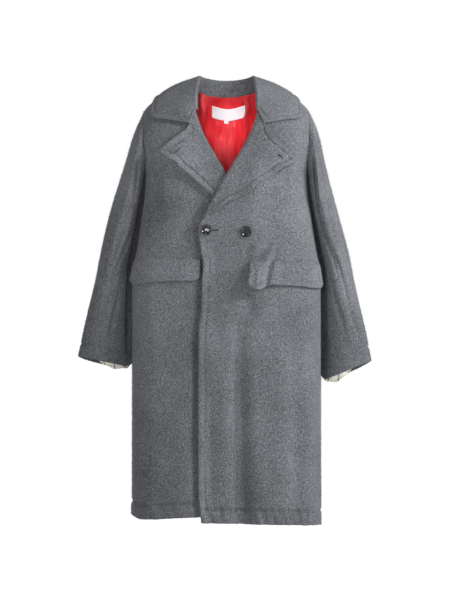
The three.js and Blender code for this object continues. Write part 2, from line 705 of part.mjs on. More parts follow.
// A small piece of cloth sewn flat to the back lining.
function patch(name, box, columns, material) {
  const start = woolWall + liningGap + liningWall + patchGap;
  const grid = (inset) => [0, 0.5, 1].map((down) => {
    const row = [];
    for (let i = 0; i <= columns; i += 1) {
      const x = mix(box.left, box.right, i / columns);
      const z = mix(box.top, box.bottom, down) - labelDip * (1 - Math.abs((x - labelMiddle) / 46) ** 1.5);
      row.push(new THREE.Vector3(x, trunkDepth(x, z, 1, inset), z));
    }
    return row;
  });
  wall(name, grid(start), grid(start + liningWall), material);
}

front("left", 12);
front("right", 11);
back(20);
sleeve("left", sleeveLeft);
sleeve("right", sleeveRight);
sleeveLining("left", sleeveLeft);
sleeveLining("right", sleeveRight);
collar();
lapel("left", lapelLeft);
lapel("right", lapelRight);
flap("left", flapLeft);
flap("right", flapRight);
buttonPlaces.forEach(button);
linings();
patch("label", labelBox, 4, labelCloth());
patch("size_tab", tabBox, 1, labelCloth());

export default coat;
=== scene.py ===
# %% [markdown]
# # A double-breasted coat in brushed wool
# This lesson dresses a plain model of a long coat. The plain model gives the size and place of each
# cut piece, and every piece here is drawn again as a finer shell on the same rings and sections, then
# given its cloth. Work is in millimetres until a mesh is made. The front faces -Y, and +X is the
# wearer's left.

# %% The frame
import math

import bpy
import numpy as np
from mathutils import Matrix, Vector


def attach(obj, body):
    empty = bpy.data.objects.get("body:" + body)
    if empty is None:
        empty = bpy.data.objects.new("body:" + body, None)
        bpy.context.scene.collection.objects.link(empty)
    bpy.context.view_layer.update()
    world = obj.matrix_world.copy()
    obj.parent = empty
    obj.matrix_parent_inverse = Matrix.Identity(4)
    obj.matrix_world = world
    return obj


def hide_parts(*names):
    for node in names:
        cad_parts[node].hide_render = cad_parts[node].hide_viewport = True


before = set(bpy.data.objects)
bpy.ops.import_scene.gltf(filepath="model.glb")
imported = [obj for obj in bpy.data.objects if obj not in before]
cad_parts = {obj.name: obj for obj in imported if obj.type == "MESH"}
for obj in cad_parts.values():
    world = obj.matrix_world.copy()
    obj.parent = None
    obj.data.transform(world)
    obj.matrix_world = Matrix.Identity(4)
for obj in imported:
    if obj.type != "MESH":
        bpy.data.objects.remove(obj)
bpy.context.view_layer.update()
MM = 0.001
rng = np.random.default_rng(28)
print("nodes to dress:", len(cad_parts))

# %% [markdown]
# ## Sizes
# A cutter works from a table of measures at a few heights. The same tables are kept here, and a curve
# is drawn through each column. The curve never overshoots its rows, so a hem or shoulder can't bulge
# past its measure.

# %% Reading a table as a curve
def follow(rows, by, column, at):
    rows = sorted(rows, key=lambda row: row[by])
    xs = np.array([row[by] for row in rows], float)
    ys = np.array([row[column] for row in rows], float)
    slope = np.diff(ys) / np.diff(xs)
    tangent = np.empty_like(ys)
    tangent[0], tangent[-1] = slope[0], slope[-1]
    before, after = slope[:-1], slope[1:]
    same = before * after > 0
    total = np.where(same, before + after, 1.0)
    tangent[1:-1] = np.where(same, 2 * before * after / total, 0.0)
    at = np.clip(np.asarray(at, float), xs[0], xs[-1])
    i = np.clip(np.searchsorted(xs, at, side="right") - 1, 0, len(xs) - 2)
    span = xs[i + 1] - xs[i]
    t = (at - xs[i]) / span
    return (ys[i] * (1 + 2 * t) * (1 - t) ** 2 + ys[i + 1] * t * t * (3 - 2 * t)
            + span * (tangent[i] * t * (1 - t) ** 2 + tangent[i + 1] * t * t * (t - 1)))


def smooth(start, end, at):
    t = np.clip((np.asarray(at, float) - start) / (end - start), 0, 1)
    return t * t * (3 - 2 * t)


def mix(a, b, t):
    return a + (b - a) * t


def table(names, rows):
    return [dict(zip(names.split(), row)) for row in rows]


# %% The tables of measures
ARMPIT_Z = -200
NECK_HALF, NECK_POINT_Z, BACK_NECK_Z = 76, 22, 8
ARMHOLE_SHARE = 0.6
SQUARENESS = 3.3
WOOL, FOLDED_WOOL, LINING = 3.0, 5.0, 1.0
SEAM_GAP = 0.2
LINING_GAP = 2.8
UNDER_LAP, UNDER_DROP, LAP, LAPEL_ROOM = 66, 2.5, 4.0, 11.0
BREAK_Z, GORGE_Z, ROLL_OVER, LAPEL_GAP = -302, -29, 5, 1.6

TRUNK = table("z half front back", [
    (40, 224, 116, 104), (-105, 222, 117, 106), (-155, 212, 118, 108), (-200, 206, 119, 109),
    (-255, 209, 120, 109), (-300, 216, 120, 109), (-350, 223, 121, 110), (-395, 231, 122, 112),
    (-430, 238, 123, 113), (-500, 240, 124, 115), (-800, 240, 127, 121), (-1085, 241, 129, 126)])
SHOULDER = table("x z", [
    (0, 46), (76, 22), (120, 16), (150, 9), (180, -1), (195, -12), (212, -32), (230, -70)])
ROLL = table("z x", [
    (40, 75), (22, 76), (0, 78), (-32, 77), (-51, 72), (-77, 63), (-115, 45), (-156, 21), (-194, -1),
    (-222, -17), (-270, -42), (-300, -58), (-318, -67), (-345, -69), (-385, -64), (-422, -57),
    (-455, -60), (-530, -62), (-590, -69), (-840, -70), (-970, -70), (-1040, -66), (-1085, -60)])
HEM = table("x upper under back", [
    (-245, -1071, -1050, -1052), (-215, -1071, -1061, -1058), (-70, -1070, -1055, -1062),
    (70, -1073, -1055, -1066), (245, -1078, -1055, -1077)])
print("rows of measures:", len(TRUNK) + len(SHOULDER) + len(ROLL) + len(HEM))

# %% [markdown]
# ## Creases
# Thick brushed wool doesn't wrinkle sharply. It hangs in long soft troughs and ridges, and puckers a
# little where it is stitched. Each one is listed from one end to the other, with its own width
# and depth. A trough is positive and goes in, a ridge is negative and comes out.

# %% Creases of the trunk
CREASE = "x0 z0 x1 z1 width depth"
FRONT_CREASES = table(CREASE, [
    (30, -560, 40, -1090, 20, 17), (66, -620, 84, -1090, 26, -3), (-6, -640, 2, -1090, 24, -2),
    (128, -620, 150, -1090, 30, -2.5), (172, -540, 176, -1090, 20, 4.5), (208, -600, 206, -1090, 16, -3),
    (-150, -620, -166, -1090, 30, 5), (-104, -720, -98, -1090, 24, -4), (-202, -560, -206, -1050, 18, 3.6),
    (186, -150, 190, -300, 9, 6), (206, -170, 200, -330, 8, 4), (168, -130, 170, -330, 14, -3.5),
    (-194, -120, -188, -190, 8, 6), (-172, -160, -176, -320, 18, 4.5), (-150, -120, -160, -260, 14, -3),
    (205, -230, 140, -310, 15, 4), (-204, -240, -150, -300, 15, 3.6), (-196, -300, -120, -360, 16, 3.4),
    (114, -374, 74, -408, 6, 11), (124, -384, 96, -420, 8, -5), (88, -372, 58, -398, 8, -4),
    (128, -378, 110, -420, 6, 8), (62, -372, 40, -452, 14, 4), (52, -440, 60, -560, 16, 4.5),
    (-100, -384, -68, -405, 7, 3.4), (-96, -300, -120, -380, 20, 3), (120, -270, 150, -370, 24, -3.6),
    (30, -470, 66, -540, 18, 3.2), (96, -500, 130, -610, 22, -3), (-120, -480, -90, -600, 20, 3),
    (-196, -470, -180, -640, 16, -3), (214, -480, 204, -620, 14, 3), (0, -480, 6, -620, 22, -2.4),
    (-40, -500, -34, -760, 14, -2.4), (-46, -800, -40, -1000, 12, 2.2), (90, -760, 60, -860, 26, 2)])
BACK_CREASES = table(CREASE, [
    (6, -480, -2, -1090, 30, 7), (-32, -560, -44, -1090, 22, -3), (44, -560, 52, -1090, 22, -3),
    (-95, -620, -118, -1090, 30, -4), (104, -650, 128, -1090, 34, -4), (-66, -700, -72, -1090, 18, 2.6),
    (72, -740, 82, -1090, 18, 2.8), (-165, -200, -160, -420, 22, 5), (160, -200, 154, -440, 22, 5),
    (-190, -250, -130, -330, 16, 3.4), (188, -250, 134, -340, 16, 3.4), (-140, -60, -176, -170, 20, 2.6),
    (142, -60, 176, -176, 20, 2.6), (-196, -520, -186, -760, 18, 2.4), (198, -540, 186, -800, 18, 2.4),
    (-40, -230, 36, -250, 26, 2), (-30, -330, 44, -352, 24, 2.2)])


def crease_depth(x, z, side):
    total = np.zeros(np.broadcast(x, z).shape)
    for c in FRONT_CREASES if side < 0 else BACK_CREASES:
        dx, dz = c["x1"] - c["x0"], c["z1"] - c["z0"]
        along = ((x - c["x0"]) * dx + (z - c["z0"]) * dz) / (dx * dx + dz * dz)
        held = np.clip(along, 0, 1)
        gap = np.hypot(x - c["x0"] - held * dx, z - c["z0"] - held * dz)
        fade = 1.0 if c["z1"] < -1040 else np.sin(math.pi * np.clip(held, 0.02, 0.98)) ** 0.5
        rise = np.clip(along * 2.2 + 0.15, 0, 1) if c["z1"] < -1040 else fade
        total += c["depth"] * rise * np.exp(-(gap / c["width"]) ** 2)
    return total


print("creases on the trunk:", len(FRONT_CREASES) + len(BACK_CREASES))

# %% [markdown]
# ## The trunk
# A worn coat is close to a stack of rounded rings up to the armpit. Above it the front and the back lean
# together and meet along the shoulder line. A maker cuts this as three panels. The surface is one
# function of width and height, so that panels, lapels, flaps, lining and label all take their shape
# from it and lie on each other with no fitting.

# %% The trunk's surface
def shoulder_z(x):
    return follow(SHOULDER, "x", "z", np.abs(x))


def ring_depth(x, z, side, inset=0.0):
    half = follow(TRUNK, "z", "half", z) - inset
    depth = follow(TRUNK, "z", "front" if side < 0 else "back", z) - inset
    across = np.minimum(1, np.abs(x) / half)
    return depth * (1 - across ** SQUARENESS) ** (1 / SQUARENESS)


def trunk_depth(x, z, side, inset=0.0, creased=True):
    climb = np.clip((z - ARMPIT_Z) / (shoulder_z(x) - inset - ARMPIT_Z), 0, 1)
    depth = ring_depth(x, z, side, inset) * np.sqrt(1 - climb ** 2)
    if creased:
        depth = depth - crease_depth(x, z, side) * smooth(0, 60, ring_depth(x, z, side))
    return depth


def lap_lift(x, z):
    lapped = 1 - smooth(70, 165, x)
    over_lapel = smooth(-400, -305, z) * (1 - smooth(-190, -130, z)) * (1 - smooth(60, 120, np.abs(x)))
    return LAP * lapped + LAPEL_ROOM * over_lapel


def front_depth(x, z, which, inset=0.0):
    if which == "left":
        return trunk_depth(x, z, -1, inset) + lap_lift(x, z)
    return trunk_depth(x, z, -1, inset) - UNDER_DROP * smooth(-100, -62, x)


def armhole_x(level, inset=0.0):
    sine = ARMHOLE_SHARE * math.sqrt(1 - (1 - level) ** 4)
    x = 206.0
    for _ in range(6):
        z = mix(ARMPIT_Z, shoulder_z(x) - inset, level)
        x = float((follow(TRUNK, "z", "half", z) - inset) * (1 - sine ** SQUARENESS) ** (1 / SQUARENESS))
    return x


def armhole_point(level, side):
    x = armhole_x(level)
    z = float(mix(ARMPIT_Z, shoulder_z(x), level))
    return np.array([x, side * max(SEAM_GAP, float(trunk_depth(x, z, side))), z])


def row_z(x, level, side, hem, inset=0.0):
    if level < 0:
        return mix(ARMPIT_Z, follow(HEM, "x", hem, x), -level)
    top = shoulder_z(x) - inset
    if side > 0:
        across = np.abs(x) / NECK_HALF
        neck = mix(BACK_NECK_Z, NECK_POINT_Z - inset * 0.3, np.minimum(across, 1) ** 2.2)
        top = np.where(across < 1, neck, top)
    return mix(ARMPIT_Z, top, level)


def edge_x(z, which):
    turned = ROLL_OVER * smooth(BREAK_Z - 25, BREAK_Z + 8, z) * (1 - smooth(-20, 0, z))
    x = follow(ROLL, "z", "x", z) + turned
    return x if which == "left" else np.minimum(UNDER_LAP, -x)


# %% Rows of points across a panel
FINE_STEP = 2.2


def spaced(points, count, fine_end=0.0):
    """Points at even steps along a line, with finer steps over the given stretch at its end."""
    step = np.linalg.norm(np.diff(points, axis=0), axis=1)
    length = np.concatenate([[0], np.cumsum(step)])
    fine = int(fine_end / FINE_STEP)
    turn = length[-1] - fine * FINE_STEP
    want = np.concatenate([np.linspace(0, turn, count - fine + 1), turn + FINE_STEP * np.arange(1, fine + 1)])
    return np.stack([np.interp(want, length, points[:, k]) for k in range(3)], axis=1)


def front_row(level, which, inset=0.0, edge_at=edge_x, dense=260):
    sign = 1 if which == "left" else -1
    hem = "upper" if which == "left" else "under"
    outer = float(follow(TRUNK, "z", "half", row_z(sign * 240, min(level, 0), -1, hem))) - inset
    if level > 0:
        outer = armhole_x(level, inset)
    inner = 0.0
    for _ in range(8):
        inner = float(edge_at(row_z(inner, level, -1, hem, inset), which))
    x = mix(sign * outer, inner, 1 - np.cos(np.linspace(0, math.pi / 2, dense)))
    z = row_z(x, level, -1, hem, inset)
    y = -np.maximum(SEAM_GAP, front_depth(x, z, which, inset))
    return np.stack([x, y, z + 0 * x], axis=1)


def back_row(level, inset=0.0, dense=260):
    halves = []
    for sign in (1, -1):
        outer = float(follow(TRUNK, "z", "half", row_z(sign * 240, min(level, 0), 1, "back"))) - inset
        if level > 0:
            outer = armhole_x(level, inset)
        x = sign * outer * np.sin(np.linspace(0, math.pi / 2, dense))
        z = row_z(x, level, 1, "back", inset)
        halves.append(np.stack([x, np.maximum(SEAM_GAP, trunk_depth(x, z, 1, inset)), z + 0 * x], axis=1))
    return np.concatenate([halves[0][::-1], halves[1][1:]])


HEM_SHARE = 0.07
LEVELS = np.concatenate([-1 + HEM_SHARE * np.linspace(0, 1, 26, endpoint=False),
                         -1 + mix(HEM_SHARE, 0.85, np.linspace(0, 1, 72, endpoint=False)),
                         -0.15 * (1 - np.linspace(0, 1, 22, endpoint=False)),
                         (1 - np.cos(np.linspace(0, math.pi, 46))) / 2])
print("rows in a panel:", len(LEVELS))

# %% [markdown]
# ## From rows to cloth
# A cloth piece needs two faces and an edge all round. Solidify could give a flat sheet its thickness,
# but here the inner face comes from the same rings drawn smaller, so that two panels stay parallel at
# a seam. Free edges of brushed wool are soft and round, so they get a rounded rim.

# %% Meshes
def normals_of(grid):
    down = np.gradient(grid, axis=0)
    along = np.gradient(grid, axis=1)
    normal = np.cross(down, along)
    return normal / np.maximum(np.linalg.norm(normal, axis=2, keepdims=True), 1e-9)


def shifted(grid, distance):
    distance = np.asarray(distance, float)
    if distance.ndim == 2:
        distance = distance[:, :, None]
    return grid + normals_of(grid) * distance


def cloth(name, outer, inner, finish, slot, node=None, rim=0.45, around=False):
    """A closed piece between two grids of points, with a rim that swells by a share of its thickness."""
    rows, columns = outer.shape[:2]
    middle = (outer + inner) / 2
    swell = np.zeros_like(middle)
    thick = np.linalg.norm(outer - inner, axis=2, keepdims=True)
    away_row = middle - np.roll(middle, -1, axis=0)
    swell[0] += away_row[0]
    swell[-1] += (middle - np.roll(middle, 1, axis=0))[-1]
    if not around:
        swell[:, 0] += (middle - np.roll(middle, -1, axis=1))[:, 0]
        swell[:, -1] += (middle - np.roll(middle, 1, axis=1))[:, -1]
    swell /= np.maximum(np.linalg.norm(swell, axis=2, keepdims=True), 1e-9)
    middle = middle + swell * thick * rim
    points = np.concatenate([outer.reshape(-1, 3), inner.reshape(-1, 3), middle.reshape(-1, 3)])
    grid = np.arange(rows * columns).reshape(rows, columns)
    across = np.concatenate([grid, grid[:, :1]], axis=1) if around else grid
    a, b, c, d = across[:-1, :-1], across[:-1, 1:], across[1:, 1:], across[1:, :-1]
    faces = [np.stack([a, b, c, d], axis=2).reshape(-1, 4)]
    faces.append(faces[0][:, ::-1] + rows * columns)
    lines = [across[0], across[-1][::-1]]
    if not around:
        lines = [np.concatenate([grid[0], grid[1:, -1], grid[-1, -2::-1], grid[-2:0:-1, 0], grid[0, :1]])]
    for line in lines:
        top, low, mid = line, line + rows * columns, line + 2 * rows * columns
        faces.append(np.stack([top[1:], top[:-1], mid[:-1], mid[1:]], axis=1))
        faces.append(np.stack([mid[1:], mid[:-1], low[:-1], low[1:]], axis=1))
    rim_faces[name] = sum(len(block) for block in faces[2:])
    faces = np.concatenate(faces)
    used, index = np.unique(faces, return_inverse=True)
    return mesh_piece(name, points[used], index.reshape(faces.shape), finish, node)


def scene_object(name, data):
    made = bpy.data.objects.new(name, data)
    bpy.context.collection.objects.link(made)
    return made


def mesh_piece(name, points, faces, finish, node=None):
    p = points[faces[:, :3]]
    if np.einsum("ij,ij->", p[:, 0], np.cross(p[:, 1], p[:, 2])) < 0:
        faces = faces[:, ::-1]
    mesh = bpy.data.meshes.new(name)
    mesh.from_pydata((points * MM).tolist(), [], faces.tolist())
    mesh.update()
    mesh.shade_smooth()
    piece = scene_object(name, mesh)
    mesh.materials.append(finish)
    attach(piece, "root")
    if node:
        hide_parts(node)
    pieces[name] = piece
    return piece


pieces, rim_faces = {}, {}
print("cloth meshes ready")

# %% [markdown]
# ## Colours and nodes
# Colours are written as a screen shows them, and one function turns them to the linear values that a
# shader needs. One more function adds any node with its settings and links.

# %% Helpers for materials
def linear(code):
    values = [int(code[i:i + 2], 16) / 255 for i in (1, 3, 5)]
    return tuple(v / 12.92 if v <= 0.04045 else ((v + 0.055) / 1.055) ** 2.4 for v in values) + (1.0,)


def material(name):
    made = bpy.data.materials.new(name)
    made.use_nodes = True
    shader = made.node_tree.nodes["Principled BSDF"]
    return made, made.node_tree, shader


def add(tree, kind, settings=None, **links):
    """Adds a node. Settings are its own properties and its plain sockets, links feed its sockets."""
    node = tree.nodes.new(kind)
    for key, value in (settings or {}).items():
        if isinstance(key, str) and hasattr(node, key):
            setattr(node, key, value)
        else:
            node.inputs[key].default_value = value
    for key, source in links.items():
        socket = node.inputs[int(key[1:])] if key[0] == "i" and key[1:].isdigit() else node.inputs[key]
        tree.links.new(source, socket)
    return node


def ramp(tree, source, stops):
    node = add(tree, "ShaderNodeValToRGB", i0=source)
    elements = node.color_ramp.elements
    while len(elements) < len(stops):
        elements.new(0.5)
    for element, (place, colour) in zip(elements, stops):
        element.position = place
        element.color = linear(colour)
    return node


def toned(name, kind, settings, stops, roughness):
    """A material whose colour follows one texture through a ramp."""
    made, tree, shader = material(name)
    where = add(tree, "ShaderNodeTexCoord").outputs["Object"]
    texture = add(tree, kind, settings, Vector=where)
    colours = ramp(tree, texture.outputs["Fac"], stops)
    tree.links.new(colours.outputs["Color"], shader.inputs["Base Color"])
    shader.inputs["Roughness"].default_value = roughness
    return made, tree, shader, texture


# %% [markdown]
# ## Brushed wool
# The cloth is a mid-grey melange coating. Pale and dark fibres are blended before spinning, and the
# woven cloth is brushed so that its fibres stand up and lean down the coat. To the eye that is a
# matt surface with a fine vertical grain and a speckle of light and dark. Real fibres are 0.02 mm wide
# and can't show, so the speckle is drawn as tufts 1.35 mm wide and 1.9 mm long with finer flecks.

# %% The wool
TUFT_WIDTH, TUFT_LENGTH, FLECK, CLOUD = 1.35, 1.9, 0.8, 70.0
COAT_LENGTH = 1.08


def wool_material(name, dark, middle, pale):
    made, tree, shader = material(name)
    where = add(tree, "ShaderNodeTexCoord").outputs["Object"]
    stretch = add(tree, "ShaderNodeMapping", {"Scale": (1, 1, TUFT_WIDTH / TUFT_LENGTH)}, Vector=where)
    tufts = add(tree, "ShaderNodeTexNoise", {"Scale": 500 / TUFT_WIDTH, "Detail": 2.0,
                "Roughness": 0.75}, Vector=stretch.outputs["Vector"])
    flecks = add(tree, "ShaderNodeTexNoise", {"Scale": 500 / FLECK, "Detail": 1.0,
                 "Roughness": 0.6}, Vector=where)
    clouds = add(tree, "ShaderNodeTexNoise", {"Scale": 500 / CLOUD, "Detail": 3.0}, Vector=where)
    both = add(tree, "ShaderNodeMix", {"data_type": "FLOAT", "Factor": 0.5},
               i2=tufts.outputs["Fac"], i3=flecks.outputs["Fac"])
    cloudy = add(tree, "ShaderNodeMix", {"data_type": "FLOAT", "Factor": 0.14},
                 i2=both.outputs[0], i3=clouds.outputs["Fac"])
    split = add(tree, "ShaderNodeSeparateXYZ", Vector=where)
    # Painted light: the colour is made a little paler towards the top of the coat and darker towards the hem,
    # as light falling from above would make it.
    painted_top_light = add(tree, "ShaderNodeMapRange", {"From Min": -COAT_LENGTH, "From Max": 0.0, "To Min": -0.022,
               "To Max": 0.022}, Value=split.outputs["Z"])
    total = add(tree, "ShaderNodeMath", {"operation": "ADD"}, i0=cloudy.outputs[0], i1=painted_top_light.outputs["Result"])
    colours = ramp(tree, total.outputs["Value"], [(0.38, dark), (0.5, middle), (0.62, pale)])
    tree.links.new(colours.outputs["Color"], shader.inputs["Base Color"])
    bump = add(tree, "ShaderNodeBump", {"Strength": 0.5, "Distance": 0.001}, Height=both.outputs[0])
    tree.links.new(bump.outputs["Normal"], shader.inputs["Normal"])
    shader.inputs["Roughness"].default_value = 0.96
    shader.inputs["Specular IOR Level"].default_value = 0.12
    shader.inputs["Sheen Weight"].default_value = 0.2
    shader.inputs["Sheen Roughness"].default_value = 0.5
    shader.inputs["Sheen Tint"].default_value = linear("#c9ccd2")
    return made


wool = wool_material("brushed_melange_wool", "#3c3d40", "#5d5f63", "#8a8c91")
print("material:", wool.name)

# %% [markdown]
# ## Fronts and back
# The right front goes under and the left one over, so the left edge shows from the break of the lapels
# down to the hem. The edges and the hem are turned and stitched, which draws the cloth into a shallow
# groove about 14 mm from the edge and 33 mm above the hem, with small uneven puckers.

# %% Stitched grooves
HEM_STITCH, EDGE_STITCH = 33.0, 14.0
HEM_PRESS, HEM_GROOVE, HEM_PUCKER = 4.2, 4.4, 4.6
EDGE_PRESS, EDGE_PUCKER = 1.9, 2.2


def pucker(along, pitch, seed):
    """An uneven ripple along a stitched line, from 0 to 1."""
    a = np.sin(2 * math.pi * along / pitch + seed)
    b = np.sin(2 * math.pi * along / (pitch * 1.73) + 2.1 * seed)
    c = np.sin(2 * math.pi * along / (pitch * 0.61) + 3.7 * seed)
    return 0.5 + (0.26 * a + 0.16 * b + 0.08 * c)


def groove(distance, width=3.2):
    return np.exp(-(distance / width) ** 2)


def stitched(depth, distance, along, pitch, seed, width=3.2):
    """How deep a stitched line draws the cloth in, unevenly along its run."""
    return depth * groove(distance, width) * (0.6 + 0.8 * pucker(along, pitch, seed))


def puckers(band, depth, along, pitch, seed):
    """Ripples in and out over a band, where the band is 1 or fades to 0."""
    return band * depth * (pucker(along, pitch, seed) - 0.5)


def panel_relief(grid, hem_heights, edge_side=None):
    """How far a panel's outer face is pressed in by its hem stitching, and by its edge stitching."""
    x, z = grid[:, :, 0], grid[:, :, 2]
    above = z - hem_heights
    run = grid[:, :, 0] + 0.7 * grid[:, :, 1]
    press = stitched(HEM_PRESS, above - HEM_STITCH, run, 21, 1.3, HEM_GROOVE)
    band = smooth(HEM_STITCH + 26, HEM_STITCH - 6, above)
    press += puckers(band, HEM_PUCKER, run + 0.35 * above, 27, 0.4)
    if edge_side is not None:
        below = 1 - smooth(BREAK_Z - 12, BREAK_Z + 4, z)
        from_edge = np.abs(x - edge_side)
        press += stitched(below * EDGE_PRESS, from_edge - EDGE_STITCH, z, 24, 2.2)
        press += puckers(below * smooth(EDGE_STITCH + 12, 2, from_edge), EDGE_PUCKER, z, 34, 0.9)
    return press


# %% Building the panels
PANEL_COLUMNS, BACK_COLUMNS, EDGE_FINE = 92, 120, 36
EDGE_CURL, CURL_WIDTH = 7.0, 34.0
UNDER_TROUGH, UNDER_TROUGH_WIDTH = 8.0, 8.0


def edge_curl(x, z, edge):
    """How far the free front edge of the upper front curls away from the coat."""
    below = 1 - smooth(BREAK_Z - 30, BREAK_Z + 30, z)
    return EDGE_CURL * smooth(CURL_WIDTH, 0, np.abs(x - edge)) * below * (0.55 + 0.9 * pucker(z, 210, 1.7))


def front_panel(which):
    hem = "upper" if which == "left" else "under"
    outer = np.stack([spaced(front_row(level, which), PANEL_COLUMNS, EDGE_FINE) for level in LEVELS])
    inner = np.stack([spaced(front_row(level, which, WOOL), PANEL_COLUMNS, EDGE_FINE) for level in LEVELS])
    edge = edge_x(outer[:, :, 2], which)
    press = panel_relief(outer, follow(HEM, "x", hem, outer[:, :, 0]), edge)
    towards = 1 if which == "left" else -1
    if which == "right":
        upper_edge = edge_x(outer[:, :, 2], "left")
        below = 1 - smooth(BREAK_Z - 40, BREAK_Z, outer[:, :, 2])
        press += below * UNDER_TROUGH * groove(outer[:, :, 0] - upper_edge + 2, UNDER_TROUGH_WIDTH)
    outer = shifted(outer, -press * towards)
    inner = shifted(inner, -press * towards * 0.6)
    if which == "left":
        for layer in (outer, inner):
            layer[:, :, 1] -= edge_curl(layer[:, :, 0], layer[:, :, 2], edge_x(layer[:, :, 2], which))
    return cloth(f"front_{which}_cloth", outer, inner, wool, "wool", f"front_{which}")


front_left = front_panel("left")
front_right = front_panel("right")

back_outer = np.stack([spaced(back_row(level), BACK_COLUMNS) for level in LEVELS])
back_inner = np.stack([spaced(back_row(level, WOOL), BACK_COLUMNS) for level in LEVELS])
back_press = panel_relief(back_outer, follow(HEM, "x", "back", back_outer[:, :, 0]))
back = cloth("back_cloth", shifted(back_outer, back_press), shifted(back_inner, back_press * 0.6),
             wool, "wool", "back")
print("panels:", [len(p.data.polygons) for p in (front_left, front_right, back)])

# %% [markdown]
# ## Sleeves
# Each sleeve is a tube of two pieces, a wide top one and a narrow under one. Its sections fan out from
# the armhole to the cuff. Thick wool shows a few slanting folds in the crook of the elbow and down the
# inner side, and none is the same on both arms.

# %% Sleeve sections
SECTION = "outX outZ inX inZ half y inY"
SLEEVES = {
    "left": table(SECTION, [
        (227, -66, 208.5, -209, 69, 0, 0), (239, -104, 209.5, -224, 74, 2, 8),
        (249, -152, 210.5, -246, 75, 4, 16), (262, -206, 213.5, -278, 73, 6, 24),
        (280, -272, 219, -324, 70, 8, 32), (298, -338, 228.6, -376, 67, 9, 36),
        (315, -402, 239, -433, 63, 9, 38), (328, -464, 239, -490, 57, 8, 38),
        (341, -526, 239.3, -554, 49, 7, 36), (356, -592, 239.5, -628, 40, 5, 34),
        (370, -662, 240, -716, 31, 3, 30)]),
    "right": table(SECTION, [
        (227, -66, 208.5, -209, 69, 0, 0), (241, -102, 209.5, -224, 74, 2, 8),
        (256, -154, 210.5, -246, 75, 4, 16), (272, -205, 213.5, -276, 73, 6, 24),
        (293, -272, 218.5, -320, 70, 8, 32), (310, -338, 226.5, -368, 67, 9, 36),
        (324, -400, 236, -422, 63, 9, 38), (337, -462, 239, -482, 57, 8, 38),
        (351, -524, 239.3, -547, 49, 7, 36), (365, -588, 239.5, -614, 40, 5, 34),
        (379, -651, 240, -681, 31, 3, 30)]),
}
CUFF_RISE, CUFF_RISE_FROM, CUFF_DROP = {"left": 22, "right": 18}, 0.82, 9
ARMHOLE_GAP, ARMHOLE_MIDDLE_Z = 0.5, -116
UNDER_FROM, SEAM_DEGREES = 126, 0.5
# Creases on a sleeve run between two places, each given by section and degrees round from the outside.
SLEEVE_CREASE = "s0 a0 s1 a1 width depth"
FOLD_STRENGTH = 1.7
SLEEVE_CREASES = {
    "left": table(SLEEVE_CREASE, [
        (0.2, 96, 4.2, 122, 9, 8), (0.6, 78, 3.6, 100, 8, -3), (1.5, 60, 5.5, 76, 12, 3),
        (3.8, 118, 6.8, 84, 9, 4.5), (5.0, 96, 7.6, 60, 9, 3.6), (6.2, 120, 8.8, 82, 8, 3.4),
        (7.4, 70, 9.6, 40, 9, 2.6), (4.4, -118, 6.6, -70, 11, 4.5), (5.6, -100, 7.8, -52, 10, 3.8),
        (2.0, -80, 4.8, -110, 12, 4), (7.6, -110, 9.4, -66, 10, 3), (6.0, 10, 8.6, -14, 12, 2.4),
        (3.0, 20, 5.6, 44, 14, 2.2), (6.8, 205, 8.8, 180, 14, 3), (0.4, 150, 9.6, 146, 8, 7)]),
    "right": table(SLEEVE_CREASE, [
        (0.4, 92, 3.4, 112, 10, 5), (0.8, 70, 4.4, 84, 13, -3), (3.2, 108, 6.0, 74, 10, 4),
        (4.8, 120, 7.2, 78, 9, 4), (6.4, 104, 8.4, 62, 9, 3), (1.8, 48, 5.0, 36, 14, 2.4),
        (7.2, 112, 9.4, 88, 8, 3), (4.0, -112, 6.2, -66, 11, 4.5), (5.4, -94, 7.4, -50, 10, 3.6),
        (2.0, -84, 4.2, -106, 12, 4), (7.0, -108, 9.2, -70, 10, 3), (5.6, 14, 8.2, -8, 12, 2.4),
        (6.6, 208, 8.6, 186, 14, 3), (0.3, 150, 9.8, 148, 9, 8)]),
}


def through(points, at):
    """A smooth line through the given points along the first axis, read at the given places."""
    n = len(points)
    i = np.clip(at.astype(int), 0, n - 2)
    t = (at - i).reshape((-1,) + (1,) * (points.ndim - 1))
    tangent = np.gradient(points, axis=0)
    a, b, ta, tb = points[i], points[i + 1], tangent[i], tangent[i + 1]
    return (a * (1 + 2 * t) * (1 - t) ** 2 + b * t * t * (3 - 2 * t)
            + ta * t * (1 - t) ** 2 + tb * t * t * (t - 1))


def sleeve_sections(which, degrees, inset):
    sign = 1 if which == "left" else -1
    angle = np.radians(degrees)
    first = []
    for a in angle:
        point = armhole_point((1 + math.cos(a)) / 2, -1 if math.sin(a) >= 0 else 1)
        share = 1 - inset / math.hypot(point[1], point[2] - ARMHOLE_MIDDLE_Z)
        z = mix(ARMHOLE_MIDDLE_Z, point[2], share)
        first.append([sign * (point[0] + ARMHOLE_GAP), point[1] * share, z])
    rows = [np.array(first)]
    for row in SLEEVES[which]:
        centre = np.array([sign * (row["outX"] + row["inX"]) / 2, row["y"], (row["outZ"] + row["inZ"]) / 2])
        reach = np.array([sign * (row["outX"] - row["inX"]) / 2, 0, (row["outZ"] - row["inZ"]) / 2])
        share = 1 - inset / np.linalg.norm(reach)
        line = centre + np.cos(angle)[:, None] * share * reach
        line[:, 1] -= np.sin(angle) * (row["half"] - inset)
        line[:, 1] += (row["inY"] - row["y"]) * ((1 - np.cos(angle)) / 2) ** 3
        rows.append(line)
    rise = CUFF_RISE[which] * np.maximum(0, -np.cos(angle) - CUFF_RISE_FROM) / (1 - CUFF_RISE_FROM)
    rows[-1][:, 2] += rise - CUFF_DROP * np.maximum(0, -np.sin(angle))
    return np.stack(rows)


